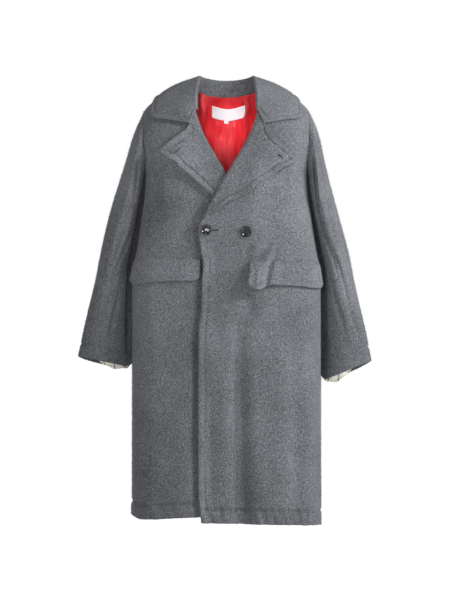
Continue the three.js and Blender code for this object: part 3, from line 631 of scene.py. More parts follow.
def sleeve_relief(which, sections, degrees):
    s = SLEEVE_ROWS[:, None] - 1
    a = degrees[None, :]
    press = np.zeros((len(SLEEVE_ROWS), len(degrees)))
    for c in SLEEVE_CREASES[which]:
        ds, da = c["s1"] - c["s0"], (c["a1"] - c["a0"]) / 18
        ps, pa = s - c["s0"], (a - c["a0"]) / 18
        held = np.clip((ps * ds + pa * da) / (ds * ds + da * da), 0, 1)
        gap = np.hypot((ps - held * ds) * 62, (pa - held * da) * 20)
        fade = np.sin(math.pi * np.clip(held, 0.03, 0.97)) ** 0.6
        press += FOLD_STRENGTH * c["depth"] * fade * np.exp(-(gap / (c["width"] * 1.3)) ** 2)
    from_cuff = (sections - 1 - s) * SECTION_STEP
    press *= smooth(4, 70, from_cuff)
    press += stitched(CUFF_PRESS, from_cuff - CUFF_STITCH, a * 1.1, 24, 1.1)
    band = smooth(CUFF_STITCH + 14, CUFF_STITCH - 6, from_cuff)
    press += puckers(band, CUFF_PUCKER, a * 1.1, 27, 0.5)
    return press * smooth(-1.0, -0.5, s)


CUFF_STITCH, CUFF_PRESS, CUFF_PUCKER = 32, 2.4, 1.8
SECTION_STEP, CUFF_FINE = 66, 0.8
SLEEVE_ROWS = np.concatenate([np.linspace(0, len(SLEEVES["left"]) - CUFF_FINE, 92, endpoint=False),
                              np.linspace(len(SLEEVES["left"]) - CUFF_FINE, len(SLEEVES["left"]), 24)])
HUG_GAP, HUG_REACH = 0.5, 13.0


def hug(points):
    """Moves a sleeve's points beside the body sideways, so that its inner line rests on the side seam."""
    x, y, z = points[:, :, 0], points[:, :, 1], points[:, :, 2]
    half = follow(TRUNK, "z", "half", z)
    depth = np.where(y < 0, follow(TRUNK, "z", "front", z), follow(TRUNK, "z", "back", z))
    side = half * (1 - np.minimum(np.abs(y) / depth, 1) ** SQUARENESS) ** (1 / SQUARENESS)
    gap = np.abs(x) - side
    rested = HUG_GAP + gap * smooth(0, HUG_REACH, gap)
    beside = smooth(ARMPIT_Z + 4, ARMPIT_Z - 8, z) * (gap < HUG_REACH)
    return np.sign(x) * (rested - gap) * beside


def sleeve_piece(name, which, start, end, columns):
    degrees = np.linspace(start, end, columns + 1)
    outer = through(sleeve_sections(which, degrees, 0.0), SLEEVE_ROWS)
    inner = through(sleeve_sections(which, degrees, WOOL), SLEEVE_ROWS)
    centres = sleeve_sections(which, np.arange(0, 360, 15.0), 0.0).mean(axis=1, keepdims=True)
    middle = through(np.repeat(centres, columns + 1, axis=1), SLEEVE_ROWS)
    inward = middle - outer
    inward /= np.linalg.norm(inward, axis=2, keepdims=True)
    press = sleeve_relief(which, len(SLEEVES[which]), degrees)[:, :, None]
    seam = np.minimum(degrees - start, end - degrees)[None, :, None]
    press = press * smooth(0, 8, seam)
    outer, inner = outer + inward * press, inner + inward * press
    aside = hug(outer)
    outer[:, :, 0] += aside
    inner[:, :, 0] += aside
    return cloth(f"{name}_cloth", outer, inner, wool, "wool", name)


for which in ("left", "right"):
    sleeve_piece(f"sleeve_top_{which}", which, -UNDER_FROM, UNDER_FROM, 84)
    sleeve_piece(f"sleeve_under_{which}", which,
                 UNDER_FROM + SEAM_DEGREES, 360 - UNDER_FROM - SEAM_DEGREES, 36)
print("sleeves:", [name for name in pieces if "sleeve" in name])

# %% [markdown]
# ## Collar
# The collar is one folded piece. Its stand rises from the neck seam, turns over at the fold and its
# fall spreads over the shoulders. It is drawn station by station from the gorge at the front round to the
# centre of the back, as three lines: the seam, the fold and the outer edge.

# %% Collar stations
COLLAR = table("seamX seamY seamZ foldX foldY foldZ edgeX edgeY edgeZ r", [
    (74, -73, -27, 77.5, -85, -25, 93, -102, -62, 2.8),
    (74.5, -64, -16, 78.5, -79, -12, 112, -97, -60, 3.4),
    (74.5, -51, -1, 78, -66, 6, 146, -87, -53, 4),
    (74, -37, 12, 76, -48, 25, 180, -73, -49, 4.5),
    (74, -20, 21, 73, -28, 42, 192, -59, -41, 4.5),
    (73.5, -2, 25, 70, -8, 54, 189, -36, -14, 4.5),
    (72, 13, 24, 67, 12, 60, 178, 2, 8, 4.5),
    (64, 26, 20, 60, 30, 58, 165, 42, -8, 4.5),
    (50, 39, 15.5, 46, 45, 55, 137, 62, -22, 4.5),
    (27, 50, 11.5, 24, 56, 52, 82, 75, -30, 4.5),
    (0, 54.5, 10, 0, 60, 51, 0, 86, -33, 4.5)])
COLLAR_THICK, COLLAR_BULGE, COLLAR_LIFT, COLLAR_STITCH = 3.5, 7.0, 6.0, 12.0


def clear_of_trunk(point, lift):
    x, y, z = point
    side = -1 if y < 0 else 1
    depth = float(front_depth(x, z, "left" if x > 0 else "right") if side < 0 else trunk_depth(x, z, 1))
    short = depth + lift - abs(y)
    share = min(1.0, abs(y) / float(ring_depth(x, z, side)))
    low = ARMPIT_Z + (float(shoulder_z(x)) - ARMPIT_Z) * math.sqrt(1 - share * share) + lift - z
    if short <= 0 or low <= 0:
        return point
    return np.array([x, y, z + low]) if low < short else np.array([x, side * (depth + lift), z])


def unit(v):
    return v / np.linalg.norm(v)


def collar_line(row, count):
    seam, fold, edge, r = row[0:3], row[3:6], row[6:9], row[9]
    to_seam, to_edge = unit(seam - fold), unit(edge - fold)
    inward, across = unit(to_seam + to_edge), unit(to_edge - to_seam)
    middle = fold + inward * r
    arc = [middle - across * r * math.cos(a) - inward * r * math.sin(a) for a in np.linspace(0, math.pi, 9)]
    line = [seam, mix(seam, arc[0], 0.35), mix(seam, arc[0], 0.7)] + arc
    for t in np.linspace(0.08, 0.94, 12):
        point = mix(arc[-1], edge, t) + across * COLLAR_BULGE * math.sin(math.pi * t)
        line.append(clear_of_trunk(point, COLLAR_LIFT))
    return spaced(np.array(line + [edge]), count, 26)


stations = np.array([[row[k] for k in row] for row in COLLAR])
other_side = stations.copy()
other_side[:, [0, 3, 6]] *= -1
stations = np.concatenate([other_side, stations[::-1][1:]])
stations = through(stations, np.linspace(0, len(stations) - 1, 180))
collar_middle = np.stack([collar_line(row, 50) for row in stations])
steps = np.linalg.norm(np.diff(collar_middle, axis=1), axis=2)
to_edge = np.concatenate([np.cumsum(steps[:, ::-1], axis=1)[:, ::-1], np.zeros((len(stations), 1))], axis=1)
run = np.cumsum(np.linalg.norm(np.gradient(collar_middle[:, -1], axis=0), axis=1))
from_front = np.minimum(run, run[-1] - run)[:, None]
near_edge = np.minimum(to_edge, from_front + 200 * (to_edge > 45))
press = 2.2 * groove(near_edge - COLLAR_STITCH) * (0.7 + 0.6 * pucker(run, 23, 1.9))[:, None]
press = press + smooth(COLLAR_STITCH + 8, 2, near_edge) * 1.2 * (pucker(run, 34, 0.3) - 0.5)[:, None]
collar = cloth("collar_cloth", shifted(collar_middle, COLLAR_THICK / 2 - press),
               shifted(collar_middle, -COLLAR_THICK / 2), wool, "wool", "collar")
print("collar:", len(collar.data.polygons), "faces")

# %% [markdown]
# ## Lapels
# A lapel is the top of the front, folded back. It hugs the front's edge along the roll, lies on the
# chest and stands off towards its tip, where its own weight and the stitching curl it. Wide peaked
# lapels are the mark of this cut.

# %% Lapel outlines
LAPELS = {
    "left": {
        "top": [(77, -29), (92, -66), (105, -79), (117, -98), (136, -114), (162, -137), (176, -154)],
        "edge": [(176, -154), (171, -163), (156, -170), (136, -178), (112, -195), (80, -214), (60, -233),
                 (30, -252), (-1, -265), (-30, -286), (-52, -302)],
        "lift": 17, "flattens": 0.8, "rows": 110, "columns": 76},
    "right": {
        "top": [(77, -29), (91, -66), (97, -79), (119, -94), (144, -113), (162, -126), (170, -135)],
        "edge": [(170, -135), (158, -147), (138, -155), (126, -161), (117, -174), (93, -193), (70, -214),
                 (38, -241), (0, -266), (-30, -288), (-52, -302)],
        "lift": 25, "flattens": 1.7, "rows": 110, "columns": 76},
}
ROLL_TURNS = [(4, -3, 1.4, -3), (4.8, -1.2, 1.4, -2.2), (5, 1, 1.4, -1), (4.4, 3.2, 1.4, 0.2),
              (3, 5, 1.4, 1.2), (0.6, 6.1, 0.2, 1.5), (-4, 6.6, -4, 1.6)]


def outline(points, count):
    flat = np.array([(x, 0.0, z) for x, z in points])
    return spaced(through(flat, np.linspace(0, len(points) - 1, 40 * len(points))), count)


LAPEL_STITCH, UNDER_COLLAR = 12.5, 26
LAPEL_PRESS, LAPEL_GROOVE, LAPEL_PUCKER = 3.2, 2.8, 2.0


def lapel_press(x, z, line):
    """How far the outer face is drawn in by the edge stitching, from the distance to the free edge."""
    gaps = np.hypot(x[:, None] - line[None, :, 0], z[:, None] - line[None, :, 2])
    near, run = gaps.min(axis=1), gaps.argmin(axis=1) * 2.0
    press = stitched(LAPEL_PRESS, near - LAPEL_STITCH, run, 26, 0.8, LAPEL_GROOVE)
    return press + puckers(smooth(LAPEL_STITCH + 8, 2, near), LAPEL_PUCKER, run, 38, 1.4)


lapel_faces = {}


def lapel(which):
    shape = LAPELS[which]
    sign = 1 if which == "left" else -1
    rows, columns = shape["rows"], shape["columns"]
    top, edge = outline(shape["top"], columns), outline(shape["edge"], rows)
    share = np.linspace(0, 1, columns + 1)[1:]
    bow = (top - (top[0] + (top[-1] - top[0]) * np.linspace(0, 1, columns + 1)[:, None]))[1:]
    line = np.concatenate([outline(shape["top"], 70)[UNDER_COLLAR:], outline(shape["edge"], 190)])
    outer, inner = [], []
    for i in range(rows + 1):
        down = i / rows
        z = mix(GORGE_Z, BREAK_Z, down)
        roll = np.array([float(edge_x(z, "left")), 0, z])
        spot = roll + (edge[i] - roll) * share[:, None] + bow * (1 - down) ** 3
        rise = shape["lift"] * share ** mix(1.0, 1.6, min(1, 4 * down)) * (1 - down) ** shape["flattens"]
        rise = rise + 2.4 * (pucker(z + 90 * share, 96, 0.6) - 0.5) * share
        press = lapel_press(spot[:, 0], spot[:, 2], line)
        x = np.concatenate([[roll[0] - turn[0] for turn in ROLL_TURNS], spot[:, 0]])
        atz = np.concatenate([[z] * len(ROLL_TURNS), spot[:, 2]])
        out = np.concatenate([[turn[1] for turn in ROLL_TURNS], LAPEL_GAP + FOLDED_WOOL + rise - press])
        x_in = np.concatenate([[roll[0] - turn[2] for turn in ROLL_TURNS], spot[:, 0]])
        low = np.concatenate([[turn[3] for turn in ROLL_TURNS], LAPEL_GAP + rise])
        outer.append(np.stack([sign * x, -front_depth(sign * x, atz, which) - out, atz], axis=1))
        inner.append(np.stack([sign * x_in, -front_depth(sign * x_in, atz, which) - low, atz], axis=1))
    lapel_faces[which] = np.stack(outer)
    return cloth(f"lapel_{which}_cloth", np.stack(outer), np.stack(inner), wool, "wool", f"lapel_{which}")


lapel_left, lapel_right = lapel("left"), lapel("right")
print("lapels:", len(lapel_left.data.polygons) * 2, "faces")

# %% [markdown]
# ## Pocket flaps
# Each flap is two layers of wool stitched and turned, so it is thick, with round lower corners. The left
# flap's inner end is caught under the lap and stands out with a few short folds.

# %% The flaps
FLAPS = {
    "left": {"from": 62, "to": 236, "top": -412, "bottom": -470, "end_drop": 12, "inner_lift": 24},
    "right": {"from": -67, "to": -236, "top": -404, "bottom": -460, "end_drop": 10, "inner_lift": 0},
}
FLAP_THICK, FLAP_CORNER, FLAP_SHORT = 5.0, 14.0, 4.0
# The left flap's caught end: a bulging fold, the trough beside it and how much lower it hangs.
BULGE_X, BULGE_WIDTH, BULGE, BULGE_DROP = 80, 17, 13, 13
TROUGH_TOP_X, TROUGH_LOW_X, TROUGH_WIDTH, TROUGH = 114, 98, 6.5, 9


def flap(which, rows=28, columns=110):
    size = FLAPS[which]
    sign = 1 if which == "left" else -1
    along = np.sin(np.linspace(0, math.pi / 2, columns + 1))
    near_end = np.minimum(along, 1 - along) * abs(size["to"] - size["from"])
    corner = np.clip(1 - near_end / FLAP_CORNER, 0, 1)
    bottom = size["bottom"] - size["end_drop"] * along ** 3 + FLAP_CORNER * (1 - np.sqrt(1 - corner ** 2))
    caught = which == "left"
    across = mix(size["from"], size["to"], along)
    if caught:
        bottom = bottom - BULGE_DROP * np.exp(-((across - BULGE_X) / BULGE_WIDTH) ** 2)
    down = np.linspace(0, 1, rows + 1)[:, None]
    z = mix(size["top"], bottom[None, :], down)
    reach = np.minimum(abs(size["to"]), follow(TRUNK, "z", "half", z) - FLAP_SHORT)
    x = mix(size["from"], sign * reach, along[None, :])
    base = np.stack([x, -front_depth(x, z, which), z], axis=2)
    lift = 1 + 4 * down ** 1.5 + size["inner_lift"] * (1 - along) ** 4 * down ** 0.7
    lift = lift + 3.0 * (pucker(x, 64, 0.7) - 0.5) * down - 3.2 * smooth(0.16, 0, down)
    if caught:
        lift = lift + BULGE * np.exp(-((x - BULGE_X) / BULGE_WIDTH) ** 2) * down ** 0.5
        line = mix(TROUGH_TOP_X, TROUGH_LOW_X, down)
        lift = lift - TROUGH * np.exp(-((x - line) / TROUGH_WIDTH) ** 2) * smooth(-0.1, 0.3, down)
        lift = np.maximum(lift, -3.0)
    thick = FLAP_THICK * (0.55 + 0.45 * down) + 0 * along
    edge_gap = np.minimum(np.minimum(near_end[None, :], (z - bottom[None, :])), 40)
    thick = thick - 1.5 * groove(edge_gap - 9, 2.8)
    return cloth(f"flap_{which}_cloth", shifted(base, sign * (lift + thick)), shifted(base, sign * lift),
                 wool, "wool", f"flap_{which}")


flap_left, flap_right = flap("left"), flap("right")
print("flaps:", len(flap_left.data.polygons) * 2, "faces")

# %% [markdown]
# ## Linings
# The back is lined in red satin, which shows in the neck. A lining is cut wider than the coat and the
# spare cloth is laid in a pleat down the centre back, so it moves with the wearer. Satin shines, and its
# folds read as bright and dark bands. Part of these bands is painted light: the satin's colour runs from
# a shaded red to a lit red along a stretched noise, over the shading of its real folds.

# %% Lining material
SATIN_BUMP_AND_PAINTED_SHADE_SCALE, SATIN_THREADS, SATIN_STRETCH = 20.0, 900.0, 0.16


def satin_material(name, deep, middle, painted_light_red):
    made, tree, shader = material(name)
    where = add(tree, "ShaderNodeTexCoord").outputs["Object"]
    stretch = add(tree, "ShaderNodeMapping", {"Scale": (1, 1, SATIN_STRETCH)}, Vector=where)
    folds = add(tree, "ShaderNodeTexNoise", {"Scale": SATIN_BUMP_AND_PAINTED_SHADE_SCALE, "Detail": 2.0, "Distortion": 0.6},
                Vector=stretch.outputs["Vector"])
    threads = add(tree, "ShaderNodeTexNoise", {"Scale": SATIN_THREADS, "Detail": 1.0},
                  Vector=stretch.outputs["Vector"])
    # Painted light: the ramp runs from a shaded red to a lit red along the stretched fold noise, so bright
    # and dark bands of shining satin are painted into its colour. The same noise gives the folds a slight
    # bump.
    colours = ramp(tree, folds.outputs["Fac"], [(0.22, deep), (0.45, middle), (0.85, painted_light_red)])
    tree.links.new(colours.outputs["Color"], shader.inputs["Base Color"])
    height = add(tree, "ShaderNodeMix", {"data_type": "FLOAT", "Factor": 0.12},
                 i2=folds.outputs["Fac"], i3=threads.outputs["Fac"])
    bump = add(tree, "ShaderNodeBump", {"Strength": 0.3, "Distance": 0.004}, Height=height.outputs[0])
    tree.links.new(bump.outputs["Normal"], shader.inputs["Normal"])
    shader.inputs["Roughness"].default_value = 0.36
    shader.inputs["Sheen Weight"].default_value = 0.15
    return made


# The deep red is painted shade and the bright red is painted light on one and the same satin.
red_satin = satin_material("red_satin_lining", "#b80f18", "#f02c36", "#ff5c62")

# %% Building the linings
LINING_LEVEL, FACING_WIDTH, FACING_EDGE = -0.15, 74, 98
LINING_COLUMNS, FRONT_LINING_COLUMNS = 150, 40


def lining_edge_x(z, which):
    x = np.maximum(FACING_EDGE, edge_x(z, "left") + FACING_WIDTH)
    return x if which == "left" else -x


# x and z of the top and the low end of each fold, its half width and how far it stands out.
LINING_FOLDS = [
    (-64, 20, -60, -90, 7, 12), (-48, 14, -52, -100, 4, -5), (44, 10, 40, -90, 4, -4),
    (54, 12, 46, -140, 6, 13), (67, 4, 60, -110, 4, -5), (74, 0, 72, -90, 6, 9),
    (-22, -52, -34, -150, 9, 4), (24, -56, 14, -190, 7, 5), (-10, -90, -16, -190, 6, 4),
    (36, -60, 34, -140, 5, -4)]
LINING_IN_MOST = 1.2


def lining_relief(x, z):
    """Soft folds and the centre pleat of the back lining, in millimetres towards the wearer."""
    total = 4.0 * smooth(-5, 1, x) * (1 - smooth(1, 9, x)) * smooth(-48, -66, z)
    for x0, z0, x1, z1, width, rise in LINING_FOLDS:
        along = np.clip((z0 - z) / (z0 - z1), 0, 1)
        line = mix(x0, x1, along) + 3 * np.sin(z / 9.0 + x0)
        ends = smooth(z0 + 8, z0 - 12, z) * smooth(z1 - 12, z1 + 12, z)
        total = total + rise * np.exp(-((x - line) / width) ** 2) * ends
    return np.maximum(total, -LINING_IN_MOST)


lining_levels = np.concatenate([np.linspace(LINING_LEVEL, 0, 20, endpoint=False),
                                (1 - np.cos(np.linspace(0, math.pi, 50))) / 2])
outset = WOOL + LINING_GAP
outer = np.stack([spaced(back_row(level, outset), LINING_COLUMNS) for level in lining_levels])
inner = np.stack([spaced(back_row(level, outset + LINING), LINING_COLUMNS) for level in lining_levels])
relief = lining_relief(outer[:, :, 0], outer[:, :, 2])[:, :, None] * np.array([0, -1, 0])
cloth("lining_back_cloth", outer + relief, inner + relief, red_satin, "lining_red", "lining_back")
for which in ("left", "right"):
    layers = [np.stack([spaced(front_row(level, which, inset, lining_edge_x), FRONT_LINING_COLUMNS)
                        for level in lining_levels]) for inset in (outset, outset + LINING)]
    cloth(f"lining_{which}_cloth", *layers, red_satin, "lining_red", f"lining_{which}")
print("lining pieces:", [name for name in pieces if name.startswith("lining")])

# %% [markdown]
# ## Buttons
# Coat buttons are turned from cast resin, then tumbled until they shine. A raised rim guards the four
# thread holes in the dish. A revolved profile gives the body, and a thick thread fills the holes.

# %% Button material and mesh
resin, tree, shader, swirl = toned(
    "polished_black_resin", "ShaderNodeTexNoise", {"Scale": 120.0, "Detail": 3.0, "Distortion": 1.5},
    [(0.3, "#141517"), (0.7, "#232427")], roughness=0.16)
shader.inputs["IOR"].default_value = 1.55
shader.inputs["Specular IOR Level"].default_value = 0.4

BUTTON_R, BUTTON_H, BUTTON_GAP = 14.0, 4.6, 1.0
BUTTONS = {"button_left": (49, -338), "button_right": (-50, -334)}
PROFILE = [(0, 0), (0.55, 0), (0.82, 0.12), (0.95, 0.38), (1, 0.62), (0.985, 0.84), (0.93, 0.97),
           (0.86, 1.0), (0.79, 0.95), (0.72, 0.8), (0.64, 0.62), (0.56, 0.52), (0.3, 0.48), (0, 0.48)]


def turned(profile, r, h, steps):
    """A closed solid turned from a profile that starts and ends on its axis."""
    inner = np.array([(a * r, b * h) for a, b in profile[1:-1]])
    angle = np.linspace(0, 2 * math.pi, steps, endpoint=False)
    ring = np.stack([inner[:, None, 0] * np.cos(angle), inner[:, None, 0] * np.sin(angle),
                     inner[:, None, 1] + 0 * angle], axis=2).reshape(-1, 3)
    points = np.concatenate([ring, [[0, 0, profile[0][1] * h], [0, 0, profile[-1][1] * h]]])
    faces = []
    for i in range(len(inner) - 1):
        for j in range(steps):
            k = (j + 1) % steps
            faces.append([i * steps + j, i * steps + k, (i + 1) * steps + k, (i + 1) * steps + j])
    low, high, last = len(points) - 2, len(points) - 1, (len(inner) - 1) * steps
    caps = [[low, (j + 1) % steps, j] for j in range(steps)]
    caps += [[high, last + j, last + (j + 1) % steps] for j in range(steps)]
    return points, faces, caps


def frame_at(x, z):
    """Where the left front is at a place, and three directions there: across, up and out."""
    step = 8
    depth = lambda dx, dz: -float(front_depth(x + dx, z + dz, "left"))
    out = unit(np.array([depth(step, 0) - depth(-step, 0), -2.0 * step, depth(0, step) - depth(0, -step)]))
    across = unit(np.cross(np.array([0, 0, 1.0]), out) * -1)
    return np.array([x, depth(0, 0), z]), across, np.cross(out, across), out


def leaning(x, z, tip):
    """The frame at a place of the left front, leaned by a share across and a share up."""
    spot, across, up, out = frame_at(x, z)
    out = unit(out + tip[0] * across + tip[1] * up)
    across = unit(across - out * np.dot(across, out))
    return spot, across, np.cross(out, across), out


def placed(points, x, z, lift, tip=(0, 0)):
    spot, across, up, out = leaning(x, z, tip)
    points = np.asarray(points)
    return spot + points[:, :1] * across + points[:, 1:2] * up + (points[:, 2:3] + lift) * out


def button(name, x, z, lift, tip):
    points, faces, caps = turned(PROFILE, BUTTON_R, BUTTON_H, 64)
    mesh = bpy.data.meshes.new(name)
    mesh.from_pydata((placed(points, x, z, lift, tip) * MM).tolist(), [], faces + caps)
    mesh.validate()
    mesh.shade_smooth()
    piece = scene_object(name + "_resin", mesh)
    mesh.materials.append(resin)
    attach(piece, "root")
    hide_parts(name)
    pieces[name] = piece


# The button at the lapped edge leans with the curl of the edge, the other one lies flat.
TIPS = {"button_left": (-0.03, 0.04), "button_right": (0.05, -0.15)}
LIFTS = {"button_left": BUTTON_GAP, "button_right": BUTTON_GAP + 5.0}
for name, (x, z) in BUTTONS.items():
    button(name, x, z, LIFTS[name], TIPS[name])
print("buttons:", list(BUTTONS))

# %% [markdown]
# ## Sewing thread
# Thread shows where a button is sewn on through its four holes and where a buttonhole is worked with
# close stitches round its slit. It could be a bevelled curve, but a joined mesh of short tubes can be
# kept as it is. The thread is a dark grey polyester, slightly glossy, drawn twice as thick as it is.

# %% Thread material and tubes
thread = toned("dark_polyester_thread", "ShaderNodeTexWave", {"Scale": 600.0, "Distortion": 2.0},
               [(0.2, "#17181a"), (0.8, "#2c2d30")], roughness=0.5)[0]
TUBE_SIDES = 6


def tubes(name, lines, radius, made):
    """A joined mesh of closed tubes, each along one row of points."""
    points, faces = [], []
    angle = np.linspace(0, 2 * math.pi, TUBE_SIDES, endpoint=False)
    for line in lines:
        line = np.asarray(line, float)
        way = np.gradient(line, axis=0)
        way /= np.linalg.norm(way, axis=1, keepdims=True)
        side = np.cross(way, [0.3, 0.2, 0.93])
        side /= np.linalg.norm(side, axis=1, keepdims=True)
        other = np.cross(way, side)
        size = radius * np.where((np.arange(len(line)) % (len(line) - 1)) == 0, 0.35, 1.0)[:, None, None]
        ring = line[:, None] + size * (side[:, None] * np.cos(angle)[None, :, None]
                                       + other[:, None] * np.sin(angle)[None, :, None])
        first = sum(len(p) for p in points)
        points.append(ring.reshape(-1, 3))
        last = first + (len(line) - 1) * TUBE_SIDES
        for i in range(len(line) - 1):
            for j in range(TUBE_SIDES):
                a, b = first + i * TUBE_SIDES + j, first + i * TUBE_SIDES + (j + 1) % TUBE_SIDES
                faces.append([a, b, b + TUBE_SIDES, a + TUBE_SIDES])
        for j in range(1, TUBE_SIDES - 2, 2):
            faces.append([first, first + j + 2, first + j + 1, first + j])
            faces.append([last, last + j, last + j + 1, last + j + 2])
    return mesh_piece(name, np.concatenate(points), np.array(faces), made)


# %% Button threads and buttonholes
HOLE_STEP, BUTTON_THREAD = 2.6, 0.5
SLIT_WIDE, SLIT_THREAD, SLIT_STITCHES, STAND_REACH = 1.5, 0.55, 15, 3.5
for name, (x, z) in BUTTONS.items():
    level = BUTTON_H * 0.5 + 0.3
    lines = []
    for row in (-HOLE_STEP, HOLE_STEP):
        for shift in (-0.4, 0.4):
            t = np.linspace(-1, 1, 6)
            local = np.stack([t * HOLE_STEP, row + shift + 0 * t, level + 0.7 * (1 - t * t)], axis=1)
            lines.append(placed(local, x, z, LIFTS[name], TIPS[name]))
    tubes(f"{name}_thread", lines, BUTTON_THREAD, thread)


def buttonhole(name, start, end, which, stand):
    """Close stitches round a slit between two places on a front or its lapel."""
    start, end = np.array(start, float), np.array(end, float)
    along = (end - start) / np.linalg.norm(end - start)
    across = np.array([-along[1], along[0]])
    half = np.linalg.norm(end - start) / 2
    lines = []
    for t in np.linspace(-1, 1, SLIT_STITCHES):
        for side in (-1, 1):
            wide = SLIT_WIDE * (1 - 0.75 * t ** 6)
            near = (start + end) / 2 + along * t * half + across * side * 0.25
            far = near + across * side * wide + along * 0.3
            run = np.stack([near, (near + far) / 2, far])
            x, z = run[:, 0], run[:, 1]
            y = -front_depth(x, z, which) - stand(x, z) - np.array([0.2, 0.9, 0.2])
            lines.append(np.stack([x, y, z], axis=1))
    tubes(name, lines, SLIT_THREAD, thread)


LAPEL_HOLES = {"left": ((130, -142.8), (141.5, -153)), "right": ((-132.9, -141.8), (-112.2, -124.4))}
buttonhole("front_buttonhole", (-35, -334), (-18, -334.5), "left", lambda x, z: 0 * x + 0.3)
for which, ends in LAPEL_HOLES.items():
    points = lapel_faces[which].reshape(-1, 3)

    def stand(x, z, points=points, which=which):
        """How far the lapel's outer face is in front of the chest, the most within a short reach."""
        lifts = -front_depth(points[:, 0], points[:, 2], which) - points[:, 1]
        near = [np.hypot(points[:, 0] - a, points[:, 2] - b) < STAND_REACH for a, b in zip(x, z)]
        return np.array([lifts[here].max() for here in near])

    buttonhole(f"lapel_{which}_buttonhole", *ends, which, stand)
print("threads:", [name for name in pieces if "thread" in name or "buttonhole" in name])

# %% [markdown]
# ## Label and sleeve linings
# A blank woven label with a small size tab is stitched to the back lining. The sleeves are lined in
# cream cloth with thin dark stripes, which hangs a little out of the cuffs.

# %% Label material and meshes
tape, tree, shader, weave = toned("white_woven_label", "ShaderNodeTexNoise", {"Scale": 1400.0, "Detail": 1.0},
                                  [(0.3, "#f4f1f8"), (0.7, "#ffffff")], roughness=0.7)
bump = add(tree, "ShaderNodeBump", {"Strength": 0.25, "Distance": 0.0003}, Height=weave.outputs["Fac"])
tree.links.new(bump.outputs["Normal"], shader.inputs["Normal"])

PATCH_GAP = 1.9
LABEL_MIDDLE, LABEL_HALF, LABEL_DIP = 4, 46, 11
PATCHES = {"label": (-37, 50, -10, -39), "size_tab": (-6, 5, -39.3, -46)}
for name, (left, right, top, bottom) in PATCHES.items():
    x, z = np.meshgrid(np.linspace(left, right, 30), np.linspace(top, bottom, 14))
    z = z - LABEL_DIP * (1 - np.abs((x - LABEL_MIDDLE) / LABEL_HALF) ** 1.5)
    start = WOOL + LINING_GAP + LINING + PATCH_GAP
    layers = []
    for inset in (start, start + LINING * 0.6):
        y = trunk_depth(x, z, 1, inset, creased=False)
        layers.append(np.stack([x, y, z], axis=2))
    cloth(f"{name}_tape", layers[0], layers[1], tape, "label", name)

# %% Sleeve lining material and meshes
striped, tree, shader = material("striped_cream_sleeve_lining")
where = add(tree, "ShaderNodeTexCoord").outputs["Object"]
STRIPE_PITCH = 26.0
split = add(tree, "ShaderNodeSeparateXYZ", Vector=where)
half_pitch = STRIPE_PITCH * MM / 2
phase = add(tree, "ShaderNodeMath", {"operation": "PINGPONG", 1: half_pitch}, i0=split.outputs["X"])
near = add(tree, "ShaderNodeMath", {"operation": "DIVIDE", 1: half_pitch}, i0=phase.outputs["Value"])
colours = ramp(tree, near.outputs["Value"],
               [(0.0, "#5b5c5e"), (0.09, "#7d7d7b"), (0.12, "#ece8da"), (1.0, "#f3f0e4")])
tree.links.new(colours.outputs["Color"], shader.inputs["Base Color"])
shader.inputs["Roughness"].default_value = 0.5
shader.inputs["Sheen Weight"].default_value = 0.1
LINING_UP = 84
# How far the lining hangs out, most at the side next to the body.
LINING_DROP = {"left": 12, "right": 6}


def sleeve_lining(which):
    degrees = np.arange(0, 360, 4.0)
    from_body = np.abs(degrees - 180)
    low = LINING_DROP[which] * np.exp(-((from_body - 66) / 27) ** 2) - 22 * smooth(88, 135, from_body)
    low = low + 1.4 * np.sin(np.radians(degrees * 9)) * smooth(100, 80, from_body)
    grids = []
    for inset in (WOOL + 1, WOOL + 1 + LINING):
        sections = sleeve_sections(which, degrees, inset)
        way = sections[-1] - sections[-2]
        length = np.linalg.norm(way, axis=1, keepdims=True)
        way = way / length
        steps = np.linspace(-LINING_UP, 0, 26)[:, None]
        drop = steps + low[None, :]
        ripple = 1.2 * np.sin(np.radians(degrees * 5) + 0.8)[None, :] * smooth(-40, 0, steps)
        outward = sections[-1] - sections[-1].mean(axis=0)
        outward = outward / np.linalg.norm(outward, axis=1, keepdims=True)
        tucked = np.abs(ripple) + 5 * smooth(-6, -40, steps)
        grid = sections[-1][None] + way[None] * drop[:, :, None] - outward[None] * tucked[:, :, None]
        grids.append(grid)
    return cloth(f"sleeve_lining_{which}_cloth", grids[0], grids[1], striped, "lining_cream",
                 f"sleeve_lining_{which}", around=True)


for which in ("left", "right"):
    sleeve_lining(which)
print("small cloth pieces done")

# %% [markdown]
# ## The nap
# Brushing pulls fibre ends out of the cloth, and they blur every edge of the coat. A hair system would
# give them, but it leaves no mesh to keep. Each fibre is instead a thin closed spike with three sides,
# rooted on a random place of the cloth, and all the spikes of one cut piece are joined in one mesh. Real
# ends are 3 to 6 mm long and far thinner than shown here: at 0.45 mm they are as fine as can be seen.

# %% Fibre ends
NAP_PER_M2, NAP_WIDTH, NAP_LONG, EDGE_SHARE = 50000, 0.45, (2.5, 6.0), 4.0
NAP_SPREAD, NAP_FALL, NAP_ROOT = 0.55, 0.55, 0.4


